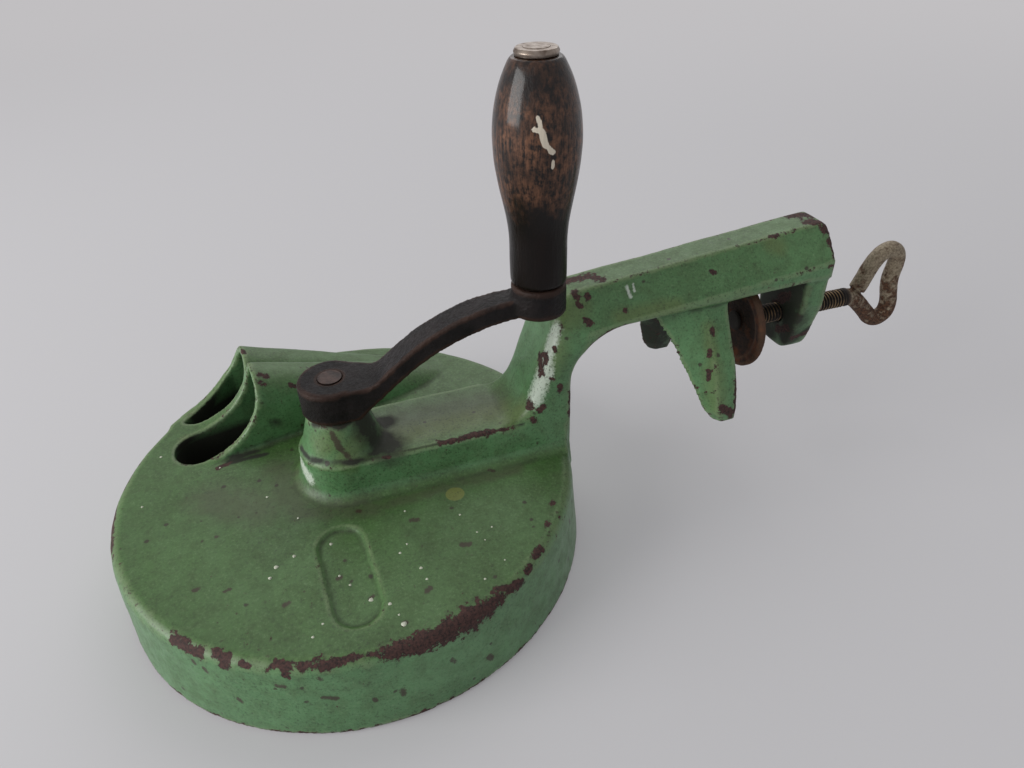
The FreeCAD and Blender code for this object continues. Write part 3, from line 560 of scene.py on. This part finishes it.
pad = worn_copy("clamp_pad", "pad_forging", face_size=0.5, rounds=3,
                layers=[(10.0, 0.2), (3.0, 0.12), (1.4, 0.07)], bores=[pad_hole])
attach(pad, "pad_body")
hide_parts("clamp_pad")

grip = worn_copy("grip", "grip_turning", face_size=0.6, rounds=1,
                 layers=[(18.0, 0.12), (5.0, 0.05)], bores=[grip_hole])
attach(grip, "grip_body")
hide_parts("grip")
splash = [((67.2, -31, 164.8), (67.8, -31.3, 162), 1.2),
          ((66.2, -30.6, 161.6), (68.2, -31.5, 160.8), 1.2),
          ((68.2, -31.5, 160.8), (69, -31.8, 157.6), 1.7),
          ((69, -31.8, 157.6), (71, -32.2, 155.2), 1.3),
          ((71.2, -32, 152.8), (71, -32, 150.8), 0.9),
          ((64.4, -29.5, 170), (65, -29.9, 167.4), 0.9)]
set_value(grip.data, "splash", strokes(points_of(grip.data), splash))

# %% [markdown]
# ## The clamp screw
#
# The screw, its pivot pin and its loop handle are one rod. The frame has it as a plain rod. The
# rod is copied and softened like the other pieces. Where the thread is, the copy is drawn in
# to the thread's root, and a true helix is laid round it.
#
# A helix could be made by turning a small triangle with the Screw modifier. A grid is simpler
# to control: for each step along the axis and each angle round it, the radius follows from how
# far the point is along its turn. That gives a closed skin with worn, rounded crests. The
# thread has 18 turns to the inch, 1.411 mm each, and is right-handed.

# %% Rod with its loop
screw_axis_z = 63.2
thread_pitch = 25.4 / 18
thread_crest = 3.98
thread_root = 3.2
thread_start_x, thread_end_x = 170.6, 217.4

pad_pivot = ((160.0, 0, screw_axis_z), (1, 0, 0), 11.0, 4.6)
rod = worn_copy("clamp_screw", "screw_rod", face_size=0.45, rounds=2,
                layers=[(14.0, 0.16), (4.0, 0.1), (1.5, 0.05)], bores=[pad_pivot])
points = points_of(rod.data)
axis_offset = points - np.array([0, 0, screw_axis_z])
axis_offset[:, 0] = 0
away = np.linalg.norm(axis_offset, axis=1)
in_thread = np.clip((points[:, 0] - thread_start_x) / 0.6, 0, 1)
in_thread *= np.clip((thread_end_x - 1.0 - points[:, 0]) / 2.0, 0, 1)
drawn_in = np.where(away > 0.1, np.minimum(away, thread_root - 0.1) / np.maximum(away, 0.1), 1)
points -= axis_offset * (in_thread * (1 - drawn_in))[:, None]
put_points(rod.data, points)
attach(rod, "screw_body")
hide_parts("clamp_screw")


# %% Helix
def helix_thread(name, start_x, end_x, root, crest, pitch, steps_per_turn, sides):
    """Grid skin of a right-hand thread along X whose ends run out into the root."""
    count = int((end_x - start_x) / pitch * steps_per_turn)
    along = np.linspace(start_x, end_x, count + 1)
    angle = np.arange(sides) * 2 * np.pi / sides
    x, a = np.meshgrid(along, angle, indexing="ij")
    turn = (x / pitch - a / (2 * np.pi)) % 1.0
    flank = 1 - np.abs(2 * turn - 1)
    height = np.clip(flank * 1.25 - 0.12, 0, 1)
    height = height * height * (3 - 2 * height)
    run_out = np.clip(np.minimum(x - start_x, end_x - x) / (1.5 * pitch), 0, 1)
    radius = root + (crest - root) * height * run_out
    radius *= 1 - 0.012 * np.sin(3 * a + x * 0.7) * run_out
    radius = np.minimum(radius, crest)
    y, z = radius * np.cos(a), radius * np.sin(a) + screw_axis_z
    points = np.stack([x, y, z], axis=-1).reshape(-1, 3) * millimetre
    faces = []
    for i in range(count):
        for j in range(sides):
            k = (j + 1) % sides
            faces.append((i * sides + j, (i + 1) * sides + j, (i + 1) * sides + k, i * sides + k))
    faces.append(tuple(range(sides)))
    faces.append(tuple(count * sides + j for j in reversed(range(sides))))
    mesh = bpy.data.meshes.new(name)
    mesh.from_pydata([tuple(p) for p in points], [], faces)
    mesh.shade_smooth()
    set_value(mesh, "height", (height * run_out).ravel())
    piece = bpy.data.objects.new(name, mesh)
    bpy.context.collection.objects.link(piece)
    print(name, "has", round((end_x - start_x) / pitch, 1), "turns and", len(faces), "faces")
    return piece


thread = helix_thread("screw_thread", thread_start_x, thread_end_x, thread_root, thread_crest,
                      thread_pitch, steps_per_turn=12, sides=56)
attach(thread, "screw_body")

# %% [markdown]
# ## Green enamel on cast iron
#
# The housing was dipped or brushed with oil enamel and has been knocked, wiped and scrubbed for
# decades. The eye sees a soft mid green that is greyer and dirtier on top, cooler on the wall,
# with a dull silk gloss. Where it has flaked, dark red-brown rust shows, with a sharp ragged
# edge. Small pores of the sand casting show through as dark dots, and a few specks of white
# wall paint have dried on it.
#
# All patterns are in millimetres: the place on the object is multiplied by 1000 first, so that a
# noise scale of 1 / 5 makes blotches of about 5 mm. The finish is built up like the real one:
# the paint, then what lies on it, then the chips through it. Laying one colour over another
# takes two nodes, and each finish ends with the same three, so two functions take these up.


# %% Places in millimetres
def new_finish(name):
    """An empty material, and the place on the piece in mm that all its patterns use."""
    finish = bpy.data.materials.new(name)
    finish.use_nodes = True
    finish.node_tree.nodes.clear()
    place = add(finish, "TexCoord").outputs["Object"]
    in_mm = add(finish, "VectorMath", {0: place, "Scale": 1000.0}, operation="SCALE")
    return finish, in_mm


def lay_over(finish, under, over, amount, start, end, shares=(0.0, 1.0)):
    """Lay one colour over another; its share goes between two values as the amount does."""
    share = add(finish, "MapRange", {0: amount, 1: start, 2: end, 3: shares[0], 4: shares[1]})
    return add(finish, "MixRGB", {0: share, 1: under, 2: over})


def end_net(finish, height, inputs, strength=1.0):
    """Shade a finish, with the relief of a height in mm, and end its net of nodes."""
    relief = add(finish, "Bump", {"Strength": strength, "Distance": millimetre, "Height": height})
    skin = add(finish, "BsdfPrincipled", {"Normal": relief, **inputs})
    add(finish, "OutputMaterial", {"Surface": skin})
    print(finish.name, "has", len(finish.node_tree.nodes), "nodes")


def dress(piece, finish):
    """Give a piece or a CAD node one finish all over."""
    piece.data.materials.clear()
    piece.data.materials.append(finish)


# %% Green enamel
enamel, mm = new_finish("worn_green_enamel")
marks = {name: add(enamel, "Attribute", attribute_name=name).outputs["Fac"]
         for name in ("edge", "crease", "chips", "smudges", "highlights_and_drips", "stains", "grime_and_shade", "dust", "depth")}
upward = add(enamel, "SeparateXYZ", {0: add(enamel, "NewGeometry").outputs["Normal"]}).outputs[2]
on_top = add(enamel, "MapRange", {0: upward, 1: 0.35, 2: 0.9}, interpolation_type="SMOOTHSTEP")

clouds = add(enamel, "TexNoise", {"Vector": mm, "Scale": 1 / 30, "Detail": 4.0, "Roughness": 0.55})
clouds = add(enamel, "MapRange", {0: clouds, 1: 0.32, 2: 0.68})
mottle = add(enamel, "TexNoise", {"Vector": mm, "Scale": 1 / 5, "Detail": 5.0, "Roughness": 0.62})
grain = add(enamel, "TexNoise", {"Vector": mm, "Scale": 1 / 0.9, "Detail": 3.0, "Roughness": 0.7})

side_green = add(enamel, "MixRGB", {0: clouds, 1: "#4c764a", 2: "#5e8a5b"})
top_green = add(enamel, "MixRGB", {0: clouds, 1: "#3c5d29", 2: "#4c6f3c"})
green = add(enamel, "MixRGB", {0: on_top, 1: side_green, 2: top_green})
green = lay_over(enamel, green, "#3c4d2a", mottle, 0.42, 0.72, (0.0, 0.5))
green = lay_over(enamel, green, "#7c966c", grain, 0.54, 0.7, (0.0, 0.3))

# %% Dust, stains, paint drips and painted highlights on the enamel
dusty = add(enamel, "Math", {0: marks["dust"], 1: mottle}, operation="MULTIPLY")
green = lay_over(enamel, green, "#4a5238", dusty, 0.03, 0.38, (0.0, 0.65))

green = lay_over(enamel, green, "#5f6a38", marks["stains"], 0.05, 0.7, (0.0, 0.5))

spilt_place = (34.8, -28.1, 33.0)
spilt_drop = add(enamel, "VectorMath", {0: mm, 1: spilt_place}, operation="DISTANCE").outputs["Value"]
green = lay_over(enamel, green, "#74793a", spilt_drop, 3.3, 3.6, (0.8, 0.0))

rubbed_edge = add(enamel, "Math", {0: marks["edge"], 1: mottle}, operation="MULTIPLY")
green = lay_over(enamel, green, "#81946a", rubbed_edge, 0.16, 0.46, (0.0, 0.4))

# Painted highlight: near-white on the column's rounded corner and the rib's end; the same strokes give
# the white paint drips on the arm.
highlight_and_drip = add(enamel, "Math", {0: marks["highlights_and_drips"], 1: grain}, operation="ADD")
green = lay_over(enamel, green, "#cdd6c8", highlight_and_drip, 0.72, 1.15, (0.0, 0.8))

# %% Pores and small rust spots
pore_mask = add(enamel, "MapRange", {0: grain, 1: 0.36, 2: 0.45, 3: 0.66, 4: 0.0})
pore_share = add(enamel, "MapRange", {0: clouds, 1: 0.0, 2: 1.0, 3: 1.0, 4: 0.4})
pore_mask = add(enamel, "Math", {0: pore_mask, 1: pore_share}, operation="MULTIPLY")
green = add(enamel, "MixRGB", {0: pore_mask, 1: green, 2: "#26301c"})

wobble = add(enamel, "TexNoise", {"Vector": mm, "Scale": 1 / 1.5}).outputs["Color"]
uneven_mm = add(enamel, "VectorMath", {0: mm, 1: wobble}, operation="ADD")
wide_cells = add(enamel, "TexVoronoi", {"Vector": uneven_mm, "Scale": 1 / 6.5, "Randomness": 1.0})
spot_size = add(enamel, "SeparateXYZ", {0: wide_cells.outputs["Color"]})
spot_size = add(enamel, "MapRange", {0: spot_size, 1: 0.35, 2: 1.0, 3: 0.0, 4: 0.17})
spot = add(enamel, "Math", {0: spot_size, 1: wide_cells.outputs["Distance"]}, operation="SUBTRACT")
green = lay_over(enamel, green, "#2d2518", spot, -0.01, 0.05, (0.0, 0.85))

smudge = add(enamel, "Math", {0: marks["smudges"], 1: grain}, operation="ADD")
smudge = add(enamel, "Math", {0: smudge, 1: mottle}, operation="ADD")
green = lay_over(enamel, green, "#35231a", smudge, 1.42, 1.66, (0.0, 0.85))

# %% Dirt and painted shade on the enamel
# Dirt in the creases and along the grime strokes, with painted shade on the boss's side toward the
# column, then painted shade deep in the chutes and the pan: all toward near-black.
dirt_and_shade = add(enamel, "Math", {0: marks["crease"], 1: 0.35}, operation="MULTIPLY")
dirt_and_shade = add(enamel, "Math", {0: dirt_and_shade, 1: marks["grime_and_shade"]}, operation="ADD")
streaky = add(enamel, "Math", {0: mottle, 1: 0.15}, operation="ADD")
dirt_and_shade = add(enamel, "Math", {0: dirt_and_shade, 1: streaky}, operation="MULTIPLY")
dirt_and_shade = add(enamel, "MapRange", {0: dirt_and_shade, 1: 0.06, 2: 0.42, 3: 0.0, 4: 0.93})
# Painted shade: the chutes, the inside of the pan and the walls in the hoods' mouths go near-black with
# depth.
deep_shade_share = add(enamel, "MapRange", {0: marks["depth"], 1: 0.0, 2: 0.8, 3: 0.0, 4: 0.97})
dirt_and_shade = add(enamel, "Math", {0: dirt_and_shade, 1: deep_shade_share}, operation="MAXIMUM")
painted = add(enamel, "MixRGB", {0: dirt_and_shade, 1: green, 2: "#15130c"})

# %% Chips down to rusty iron
ragged = add(enamel, "TexNoise", {"Vector": mm, "Scale": 1 / 2.6, "Detail": 6.0, "Roughness": 0.68})
ragged = add(enamel, "MapRange", {0: ragged, 1: 0.28, 2: 0.72}, clamp=False)
patchy = add(enamel, "MapRange", {0: clouds, 1: 0.2, 2: 0.9, 3: 0.05, 4: 0.42})
edge_wear = add(enamel, "Math", {0: marks["edge"], 1: patchy}, operation="MULTIPLY")
height_z = add(enamel, "SeparateXYZ", {0: mm}).outputs[2]
base_rust = add(enamel, "MapRange", {0: height_z, 1: 0.4, 2: 3.0, 3: 0.75, 4: 0.0})
wear = add(enamel, "Math", {0: marks["chips"], 1: edge_wear}, operation="MAXIMUM")
wear = add(enamel, "Math", {0: wear, 1: base_rust}, operation="MAXIMUM")
wear = add(enamel, "Math", {0: wear, 1: ragged}, operation="ADD")
crumbs = add(enamel, "MapRange", {0: grain, 1: 0.3, 2: 0.7, 3: -0.16, 4: 0.16})
wear = add(enamel, "Math", {0: wear, 1: crumbs}, operation="ADD")
bare = add(enamel, "MapRange", {0: wear, 1: 0.98, 2: 1.03}, interpolation_type="SMOOTHSTEP")
rust = lay_over(enamel, "#1e110e", "#4c302a", grain, 0.36, 0.62)
painted = lay_over(enamel, painted, "#33281a", wear, 0.82, 1.0, (0.0, 0.6))
colour = add(enamel, "MixRGB", {0: bare, 1: painted, 2: rust})

# %% Gloss and relief of the enamel
dull = add(enamel, "MapRange", {0: mottle, 1: 0.3, 2: 0.7, 3: 0.3, 4: 0.46})
duller_top = add(enamel, "Math", {0: on_top, 1: 0.1}, operation="MULTIPLY")
dull = add(enamel, "Math", {0: dull, 1: duller_top}, operation="ADD")
dull = add(enamel, "MixRGB", {0: dirt_and_shade, 1: dull, 2: (0.75, 0.75, 0.75, 1)})
dull = add(enamel, "MixRGB", {0: bare, 1: dull, 2: (0.8, 0.8, 0.8, 1)})
sand = add(enamel, "Math", {0: grain, 1: 0.07}, operation="MULTIPLY")
swells = add(enamel, "Math", {0: mottle, 1: 0.1}, operation="MULTIPLY")
flaked = add(enamel, "Math", {0: bare, 1: -0.22}, operation="MULTIPLY")
height = add(enamel, "Math", {0: sand, 1: swells}, operation="ADD")
height = add(enamel, "Math", {0: height, 1: flaked}, operation="ADD")
end_net(enamel, height, {"Base Color": colour, "Roughness": dull, "IOR": 1.5})
dress(housing, enamel)

# %% [markdown]
# ## Specks of wall paint
#
# Small drops of white paint, about one to two millimetres wide, have dried on the pan. A spot
# in the texture would look printed on. Real drops stand up, so they are one small mesh of low
# domes that lie on the pan.

# %% Paint drops
pan_top_z = 33.0
oval_floor_z = 31.9
oval_half = (8, 20)
drop_height = 0.4
sunk_in = 0.15
drops = [(-69.8, 31.7, 0.5), (-74.8, 4.6, 0.5), (-29.9, -40.8, 0.8), (-32.1, -44.8, 0.6),
         (-23.8, -38, 0.6), (3.3, -68.1, 0.85), (-17.6, -68.5, 0.5), (-21, -72.2, 0.5),
         (-31, -5.9, 0.5), (6, -76.8, 0.95), (15.7, -30.3, 0.45), (33.8, -38.8, 0.55),
         (37.3, -48.6, 0.4), (38.9, -53, 0.4), (42.8, -48.1, 0.45), (15.6, -57.4, 0.65),
         (16.4, -62.5, 0.55), (34.2, -68.8, 0.5), (10.3, -48.8, 0.55), (13.3, -45.7, 0.4),
         (-47.5, 16.8, 0.5), (42.6, -63.5, 0.35), (-21, -20.6, 0.4), (5.2, -73, 0.4),
         (-11.4, -35.8, 0.6), (-2.1, -63.7, 0.95), (-7.6, -55.5, 0.5), (-10.4, -50.6, 0.45)]


def dome(x, y, z, radius, height, sides, rings):
    """Points and faces of a low round drop."""
    points = [(x, y, z + height)]
    faces = []
    for ring in range(1, rings + 1):
        turn = ring / rings * math.pi / 2
        for side in range(sides):
            angle = 2 * math.pi * side / sides
            reach = radius * math.sin(turn) * (1 + 0.12 * math.sin(3 * angle + x))
            points.append((x + reach * math.cos(angle), y + reach * math.sin(angle),
                           z + height * math.cos(turn)))
    for side in range(sides):
        after = (side + 1) % sides
        faces.append((0, 1 + side, 1 + after))
        for ring in range(rings - 1):
            a, b = 1 + ring * sides, 1 + (ring + 1) * sides
            faces.append((a + side, b + side, b + after, a + after))
    return points, faces


all_points, all_faces = [], []
for x, y, radius in drops:
    in_oval = abs(x - oval_middle[0]) < oval_half[0] and abs(y - oval_middle[1]) < oval_half[1]
    floor_z = oval_floor_z if in_oval else pan_top_z
    new_points, new_faces = dome(x, y, floor_z - sunk_in, radius, drop_height, sides=10, rings=3)
    start = len(all_points)
    all_points += [tuple(c * millimetre for c in point) for point in new_points]
    all_faces += [tuple(start + i for i in face) for face in new_faces]
drop_mesh = bpy.data.meshes.new("paint_drops")
drop_mesh.from_pydata(all_points, [], all_faces)
drop_mesh.shade_smooth()
paint_drops = bpy.data.objects.new("paint_drops", drop_mesh)
bpy.context.collection.objects.link(paint_drops)
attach(paint_drops, "frame")

drop_paint, mm = new_finish("dried_wall_paint")
yellowing = add(drop_paint, "TexNoise", {"Vector": mm, "Scale": 1 / 0.8, "Detail": 2.0})
white = add(drop_paint, "MixRGB", {0: yellowing, 1: "#a9ac93", 2: "#d3d4c6"})
end_net(drop_paint, yellowing, {"Base Color": white, "Roughness": 0.6}, strength=0.1)
dress(paint_drops, drop_paint)
print(len(drops), "drops of paint")

# %% [markdown]
# ## Forged iron, blackened and rusty
#
# The crank was forged and left as it came: black scale with a dull sheen, dark rust in the pits
# and creases and lighter brown rust on the edges. Scale is an oxide, so it is not shaded as
# bare metal: it is a nearly black coating with a weak gloss and only a little metal in it.

# %% Forged iron
forged, mm = new_finish("black_forged_iron")
blotches = add(forged, "TexNoise", {"Vector": mm, "Scale": 1 / 9, "Detail": 4.0})
pits = add(forged, "TexNoise", {"Vector": mm, "Scale": 1 / 1.0, "Detail": 5.0, "Roughness": 0.7})
edge = add(forged, "Attribute", attribute_name="edge").outputs["Fac"]
crease = add(forged, "Attribute", attribute_name="crease").outputs["Fac"]
iron = lay_over(forged, "#0d0b0c", "#1f1a1a", blotches, 0.35, 0.65)
iron = lay_over(forged, iron, "#140d0a", pits, 0.36, 0.48, (0.8, 0.0))
rust_share = add(forged, "Math", {0: edge, 1: blotches}, operation="MULTIPLY")
iron = lay_over(forged, iron, "#3f2a20", rust_share, 0.16, 0.55, (0.0, 0.6))
iron = lay_over(forged, iron, "#0f0c0b", crease, 0.1, 0.8, (0.0, 0.7))
dull = add(forged, "MapRange", {0: pits, 1: 0.35, 2: 0.65, 3: 0.62, 4: 0.36})
low = add(forged, "Math", {0: pits, 1: 0.34}, operation="MULTIPLY")
wide = add(forged, "Math", {0: blotches, 1: 0.5}, operation="MULTIPLY")
height = add(forged, "Math", {0: low, 1: wide}, operation="ADD")
end_net(forged, height, {"Base Color": iron, "Metallic": 0.1, "Roughness": dull,
                         "Specular IOR Level": 0.2})
dress(crank, forged)

# %% [markdown]
# ## Rusty iron
#
# The clamp pad has no paint left. Rust is a crust of iron oxide: dark red-brown where it is old,
# orange where it is fresh, quite matt and grainy at about a millimetre.

# %% Rust
rusty, mm = new_finish("rusty_iron")
patches = add(rusty, "TexNoise", {"Vector": mm, "Scale": 1 / 7, "Detail": 4.0})
crust = add(rusty, "TexNoise", {"Vector": mm, "Scale": 1 / 1.2, "Detail": 5.0, "Roughness": 0.65})
brown = lay_over(rusty, "#150e0a", "#38231a", crust, 0.35, 0.65)
brown = lay_over(rusty, brown, "#7a4323", patches, 0.52, 0.66, (0.0, 0.45))
edge = add(rusty, "Attribute", attribute_name="edge").outputs["Fac"]
brown = lay_over(rusty, brown, "#5d4636", edge, 0.3, 0.9, (0.0, 0.5))
height = add(rusty, "Math", {0: crust, 1: 0.4}, operation="MULTIPLY")
end_net(rusty, height, {"Base Color": brown, "Roughness": 0.82, "Specular IOR Level": 0.3})
dress(pad, rusty)

# %% [markdown]
# ## Worn steel of the screw
#
# The thread is black with old grease in its grooves and rubbed to bright yellowish steel on its
# crests. The loop once had a pale coat: cream and beige flakes are left on its upper strand,
# with brown speckled rust between.

# %% Thread
oily, mm = new_finish("oily_thread_steel")
crest_height = add(oily, "Attribute", attribute_name="height").outputs["Fac"]
film = add(oily, "TexNoise", {"Vector": mm, "Scale": 1 / 4, "Detail": 4.0})
rubbed = add(oily, "Math", {0: crest_height, 1: film}, operation="MULTIPLY")
rubbed = add(oily, "MapRange", {0: rubbed, 1: 0.34, 2: 0.62})
steel = add(oily, "MixRGB", {0: rubbed, 1: "#16110e", 2: "#8f7658"})
gloss = add(oily, "MapRange", {0: rubbed, 3: 0.62, 4: 0.34})
shine = add(oily, "MapRange", {0: rubbed, 3: 0.2, 4: 0.9})
end_net(oily, film, {"Base Color": steel, "Metallic": shine, "Roughness": gloss}, strength=0.3)
dress(thread, oily)

# %% Rod and loop
coated, mm = new_finish("rod_with_old_coat")
along_x = add(coated, "SeparateXYZ", {0: mm})
height_z = add(coated, "SeparateXYZ", {0: mm}).outputs[2]
flakes = add(coated, "TexNoise", {"Vector": mm, "Scale": 1 / 3.2, "Detail": 5.0, "Roughness": 0.6})
fine = add(coated, "TexNoise", {"Vector": mm, "Scale": 1 / 0.9, "Detail": 4.0, "Roughness": 0.65})
fine_mix = add(coated, "MapRange", {0: fine, 1: 0.35, 2: 0.65})
rust = add(coated, "MixRGB", {0: fine_mix, 1: "#2b1a12", 2: "#6b4a33"})
upper = add(coated, "MapRange", {0: height_z, 1: 44.0, 2: 84.0, 3: 0.0, 4: 0.34})
on_loop = add(coated, "MapRange", {0: along_x, 1: 216.5, 2: 219.0})
coat = add(coated, "Math", {0: flakes, 1: upper}, operation="ADD")
coat = add(coated, "MapRange", {0: coat, 1: 0.6, 2: 0.76, 3: 0.0, 4: 0.85})
coat = add(coated, "Math", {0: coat, 1: on_loop}, operation="MULTIPLY")
cream = add(coated, "MixRGB", {0: fine_mix, 1: "#74654f", 2: "#a99d86"})
rod_colour = add(coated, "MixRGB", {0: coat, 1: rust, 2: cream})
dark_shank = add(coated, "MixRGB", {0: on_loop, 1: "#1d1613", 2: rod_colour})
dull = add(coated, "MapRange", {0: coat, 3: 0.8, 4: 0.5})
height = add(coated, "Math", {0: fine, 1: 0.22}, operation="MULTIPLY")
coat_step = add(coated, "Math", {0: coat, 1: 0.1}, operation="MULTIPLY")
height = add(coated, "Math", {0: height, 1: coat_step}, operation="ADD")
end_net(coated, height, {"Base Color": dark_shank, "Metallic": 0.15, "Roughness": dull})
dress(rod, coated)

# %% [markdown]
# ## Turned wood with old varnish
#
# The grip is a close-grained hardwood, stained dark and varnished. Hands have rubbed the middle
# down to orange-brown wood whose pores stay black, while the foot is black with iron and
# grease. The grain runs along the grip, so the noise is stretched about six times in Z: streaks
# about 0.9 mm wide and 6 mm long, which a second noise of short scars breaks up. What is left
# of the varnish, most of it near the top, gives a clear coat.

# %% Wood
wood, mm = new_finish("worn_varnished_beech")
height_z = add(wood, "SeparateXYZ", {0: mm}).outputs[2]
along_grain = add(wood, "Mapping", {"Vector": mm, "Scale": (1.0, 1.0, 0.16)})
fibres = add(wood, "TexNoise",
             {"Vector": along_grain, "Scale": 1 / 0.9, "Detail": 6.0, "Roughness": 0.65})
bands = add(wood, "TexNoise", {"Vector": along_grain, "Scale": 1 / 4.0, "Detail": 3.0})
wear_map = add(wood, "TexNoise", {"Vector": mm, "Scale": 1 / 8, "Detail": 5.0, "Roughness": 0.6})
rubbed_zone = add(wood, "MapRange", {0: height_z, 1: 116.0, 2: 152.0},
                  interpolation_type="SMOOTHSTEP")
top_zone = add(wood, "MapRange", {0: height_z, 1: 160.0, 2: 174.0, 3: 1.0, 4: 0.62})
rubbed_zone = add(wood, "Math", {0: rubbed_zone, 1: top_zone}, operation="MULTIPLY")
rubbed = add(wood, "Math", {0: rubbed_zone, 1: wear_map}, operation="MULTIPLY")
rubbed = add(wood, "MapRange", {0: rubbed, 1: 0.24, 2: 0.6})
scars = add(wood, "TexNoise", {"Vector": mm, "Scale": 1 / 1.8, "Detail": 5.0, "Roughness": 0.7})
fibre_mix = add(wood, "Math", {0: fibres, 1: scars}, operation="ADD")
worn_wood = lay_over(wood, "#0f0a08", "#76503a", fibre_mix, 0.86, 1.16)
dark_wood = add(wood, "MixRGB", {0: bands, 1: "#050505", 2: "#190f0b"})
colour = add(wood, "MixRGB", {0: rubbed, 1: dark_wood, 2: worn_wood})
fleck = add(wood, "Attribute", attribute_name="splash").outputs["Fac"]
fleck = add(wood, "Math", {0: fleck, 1: fibres}, operation="ADD")
colour = lay_over(wood, colour, "#cfc4b2", fleck, 0.88, 0.94)
dull = add(wood, "MapRange", {0: rubbed, 3: 0.3, 4: 0.5})
height = add(wood, "Math", {0: fibres, 1: 0.26}, operation="MULTIPLY")
varnish = add(wood, "MapRange", {0: height_z, 1: 128.0, 2: 158.0, 3: 0.06, 4: 0.5})
end_net(wood, height, {"Base Color": colour, "Roughness": dull, "Specular IOR Level": 0.15,
                       "Coat Weight": varnish, "Coat Roughness": 0.14})
dress(grip, wood)

# %% [markdown]
# ## Small metal parts
#
# The cap on the grip is nickelled brass, rubbed and a little pitted, and the end of the spindle
# in its middle looks the same. The knives, their screws, the nut and the washers are plain
# steel that has dulled and spotted. The disc that carries the knives is cast iron, turned on
# its faces and stained by beans and water. Their CAD nodes have the right shape, so they only
# get a finish.

# %% Nickelled brass
nickel, mm = new_finish("nickelled_brass")
tarnish = add(nickel, "TexNoise", {"Vector": mm, "Scale": 1 / 2.0, "Detail": 5.0})
metal = lay_over(nickel, "#6a5c52", "#a3988d", tarnish, 0.3, 0.7)
dull = add(nickel, "MapRange", {0: tarnish, 1: 0.3, 2: 0.7, 3: 0.5, 4: 0.26})
end_net(nickel, tarnish, {"Base Color": metal, "Metallic": 1.0, "Roughness": dull}, strength=0.03)
dress(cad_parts["grip_cap"], nickel)
dress(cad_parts["grip_spindle"], nickel)

# %% Spotted steel
steel, mm = new_finish("spotted_tool_steel")
spots = add(steel, "TexNoise", {"Vector": mm, "Scale": 1 / 3.0, "Detail": 5.0, "Roughness": 0.6})
strokes_along = add(steel, "Mapping", {"Vector": mm, "Scale": (1.0, 1.0, 6.0)})
scratches = add(steel, "TexNoise", {"Vector": strokes_along, "Scale": 1 / 0.6, "Detail": 3.0})
rust_share = add(steel, "MapRange", {0: spots, 1: 0.5, 2: 0.66, 3: 0.0, 4: 0.85})
metal = add(steel, "MixRGB", {0: rust_share, 1: "#8c8883", 2: "#4a3226"})
dull = add(steel, "MapRange", {0: spots, 1: 0.35, 2: 0.65, 3: 0.32, 4: 0.72})
shine = add(steel, "MapRange", {0: rust_share, 3: 0.95, 4: 0.1})
end_net(steel, scratches, {"Base Color": metal, "Metallic": shine, "Roughness": dull},
        strength=0.15)
for node in ("knife_1", "knife_2", "knife_3", "knife_screws", "lock_washer", "shaft_nut",
             "thrust_washer"):
    dress(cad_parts[node], steel)

# %% Stained cast iron
disc_iron, mm = new_finish("turned_cast_iron")
spots = add(disc_iron, "TexNoise", {"Vector": mm, "Scale": 1 / 9, "Detail": 6.0, "Roughness": 0.6})
from_axis = add(disc_iron, "Mapping", {"Vector": mm, "Scale": (1.0, 1.0, 0.0)})
radius = add(disc_iron, "VectorMath", {0: from_axis}, operation="LENGTH").outputs["Value"]
radius = add(disc_iron, "Math", {0: radius, 1: spots}, operation="ADD")
grooves = add(disc_iron, "Math", {0: radius, 1: 2 * math.pi / 0.8}, operation="MULTIPLY")
grooves = add(disc_iron, "Math", {0: grooves}, operation="SINE")
stain = add(disc_iron, "MapRange", {0: spots, 1: 0.4, 2: 0.62})
metal = add(disc_iron, "MixRGB", {0: stain, 1: "#5c5955", 2: "#3b2a20"})
dull = add(disc_iron, "MapRange", {0: stain, 3: 0.45, 4: 0.8})
height = add(disc_iron, "Math", {0: grooves, 1: 0.03}, operation="MULTIPLY")
end_net(disc_iron, height, {"Base Color": metal, "Metallic": 0.6, "Roughness": dull})
dress(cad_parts["cutter_disc"], disc_iron)

# %% [markdown]
# ## The riveted end of the shaft
#
# The shaft is riveted in the crank's hub: its end was hammered flat and wide. It shows as a
# reddish-brown disc. The CAD shaft stays, with a brown finish.

# %% Shaft
shaft_iron, mm = new_finish("hammered_shaft_end")
dents = add(shaft_iron, "TexNoise", {"Vector": mm, "Scale": 1 / 2.4, "Detail": 4.0})
metal = lay_over(shaft_iron, "#1f1512", "#43312b", dents, 0.35, 0.65)
height = add(shaft_iron, "Math", {0: dents, 1: 0.4}, operation="MULTIPLY")
end_net(shaft_iron, height, {"Base Color": metal, "Metallic": 0.4, "Roughness": 0.5})
dress(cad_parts["crank_shaft"], shaft_iron)
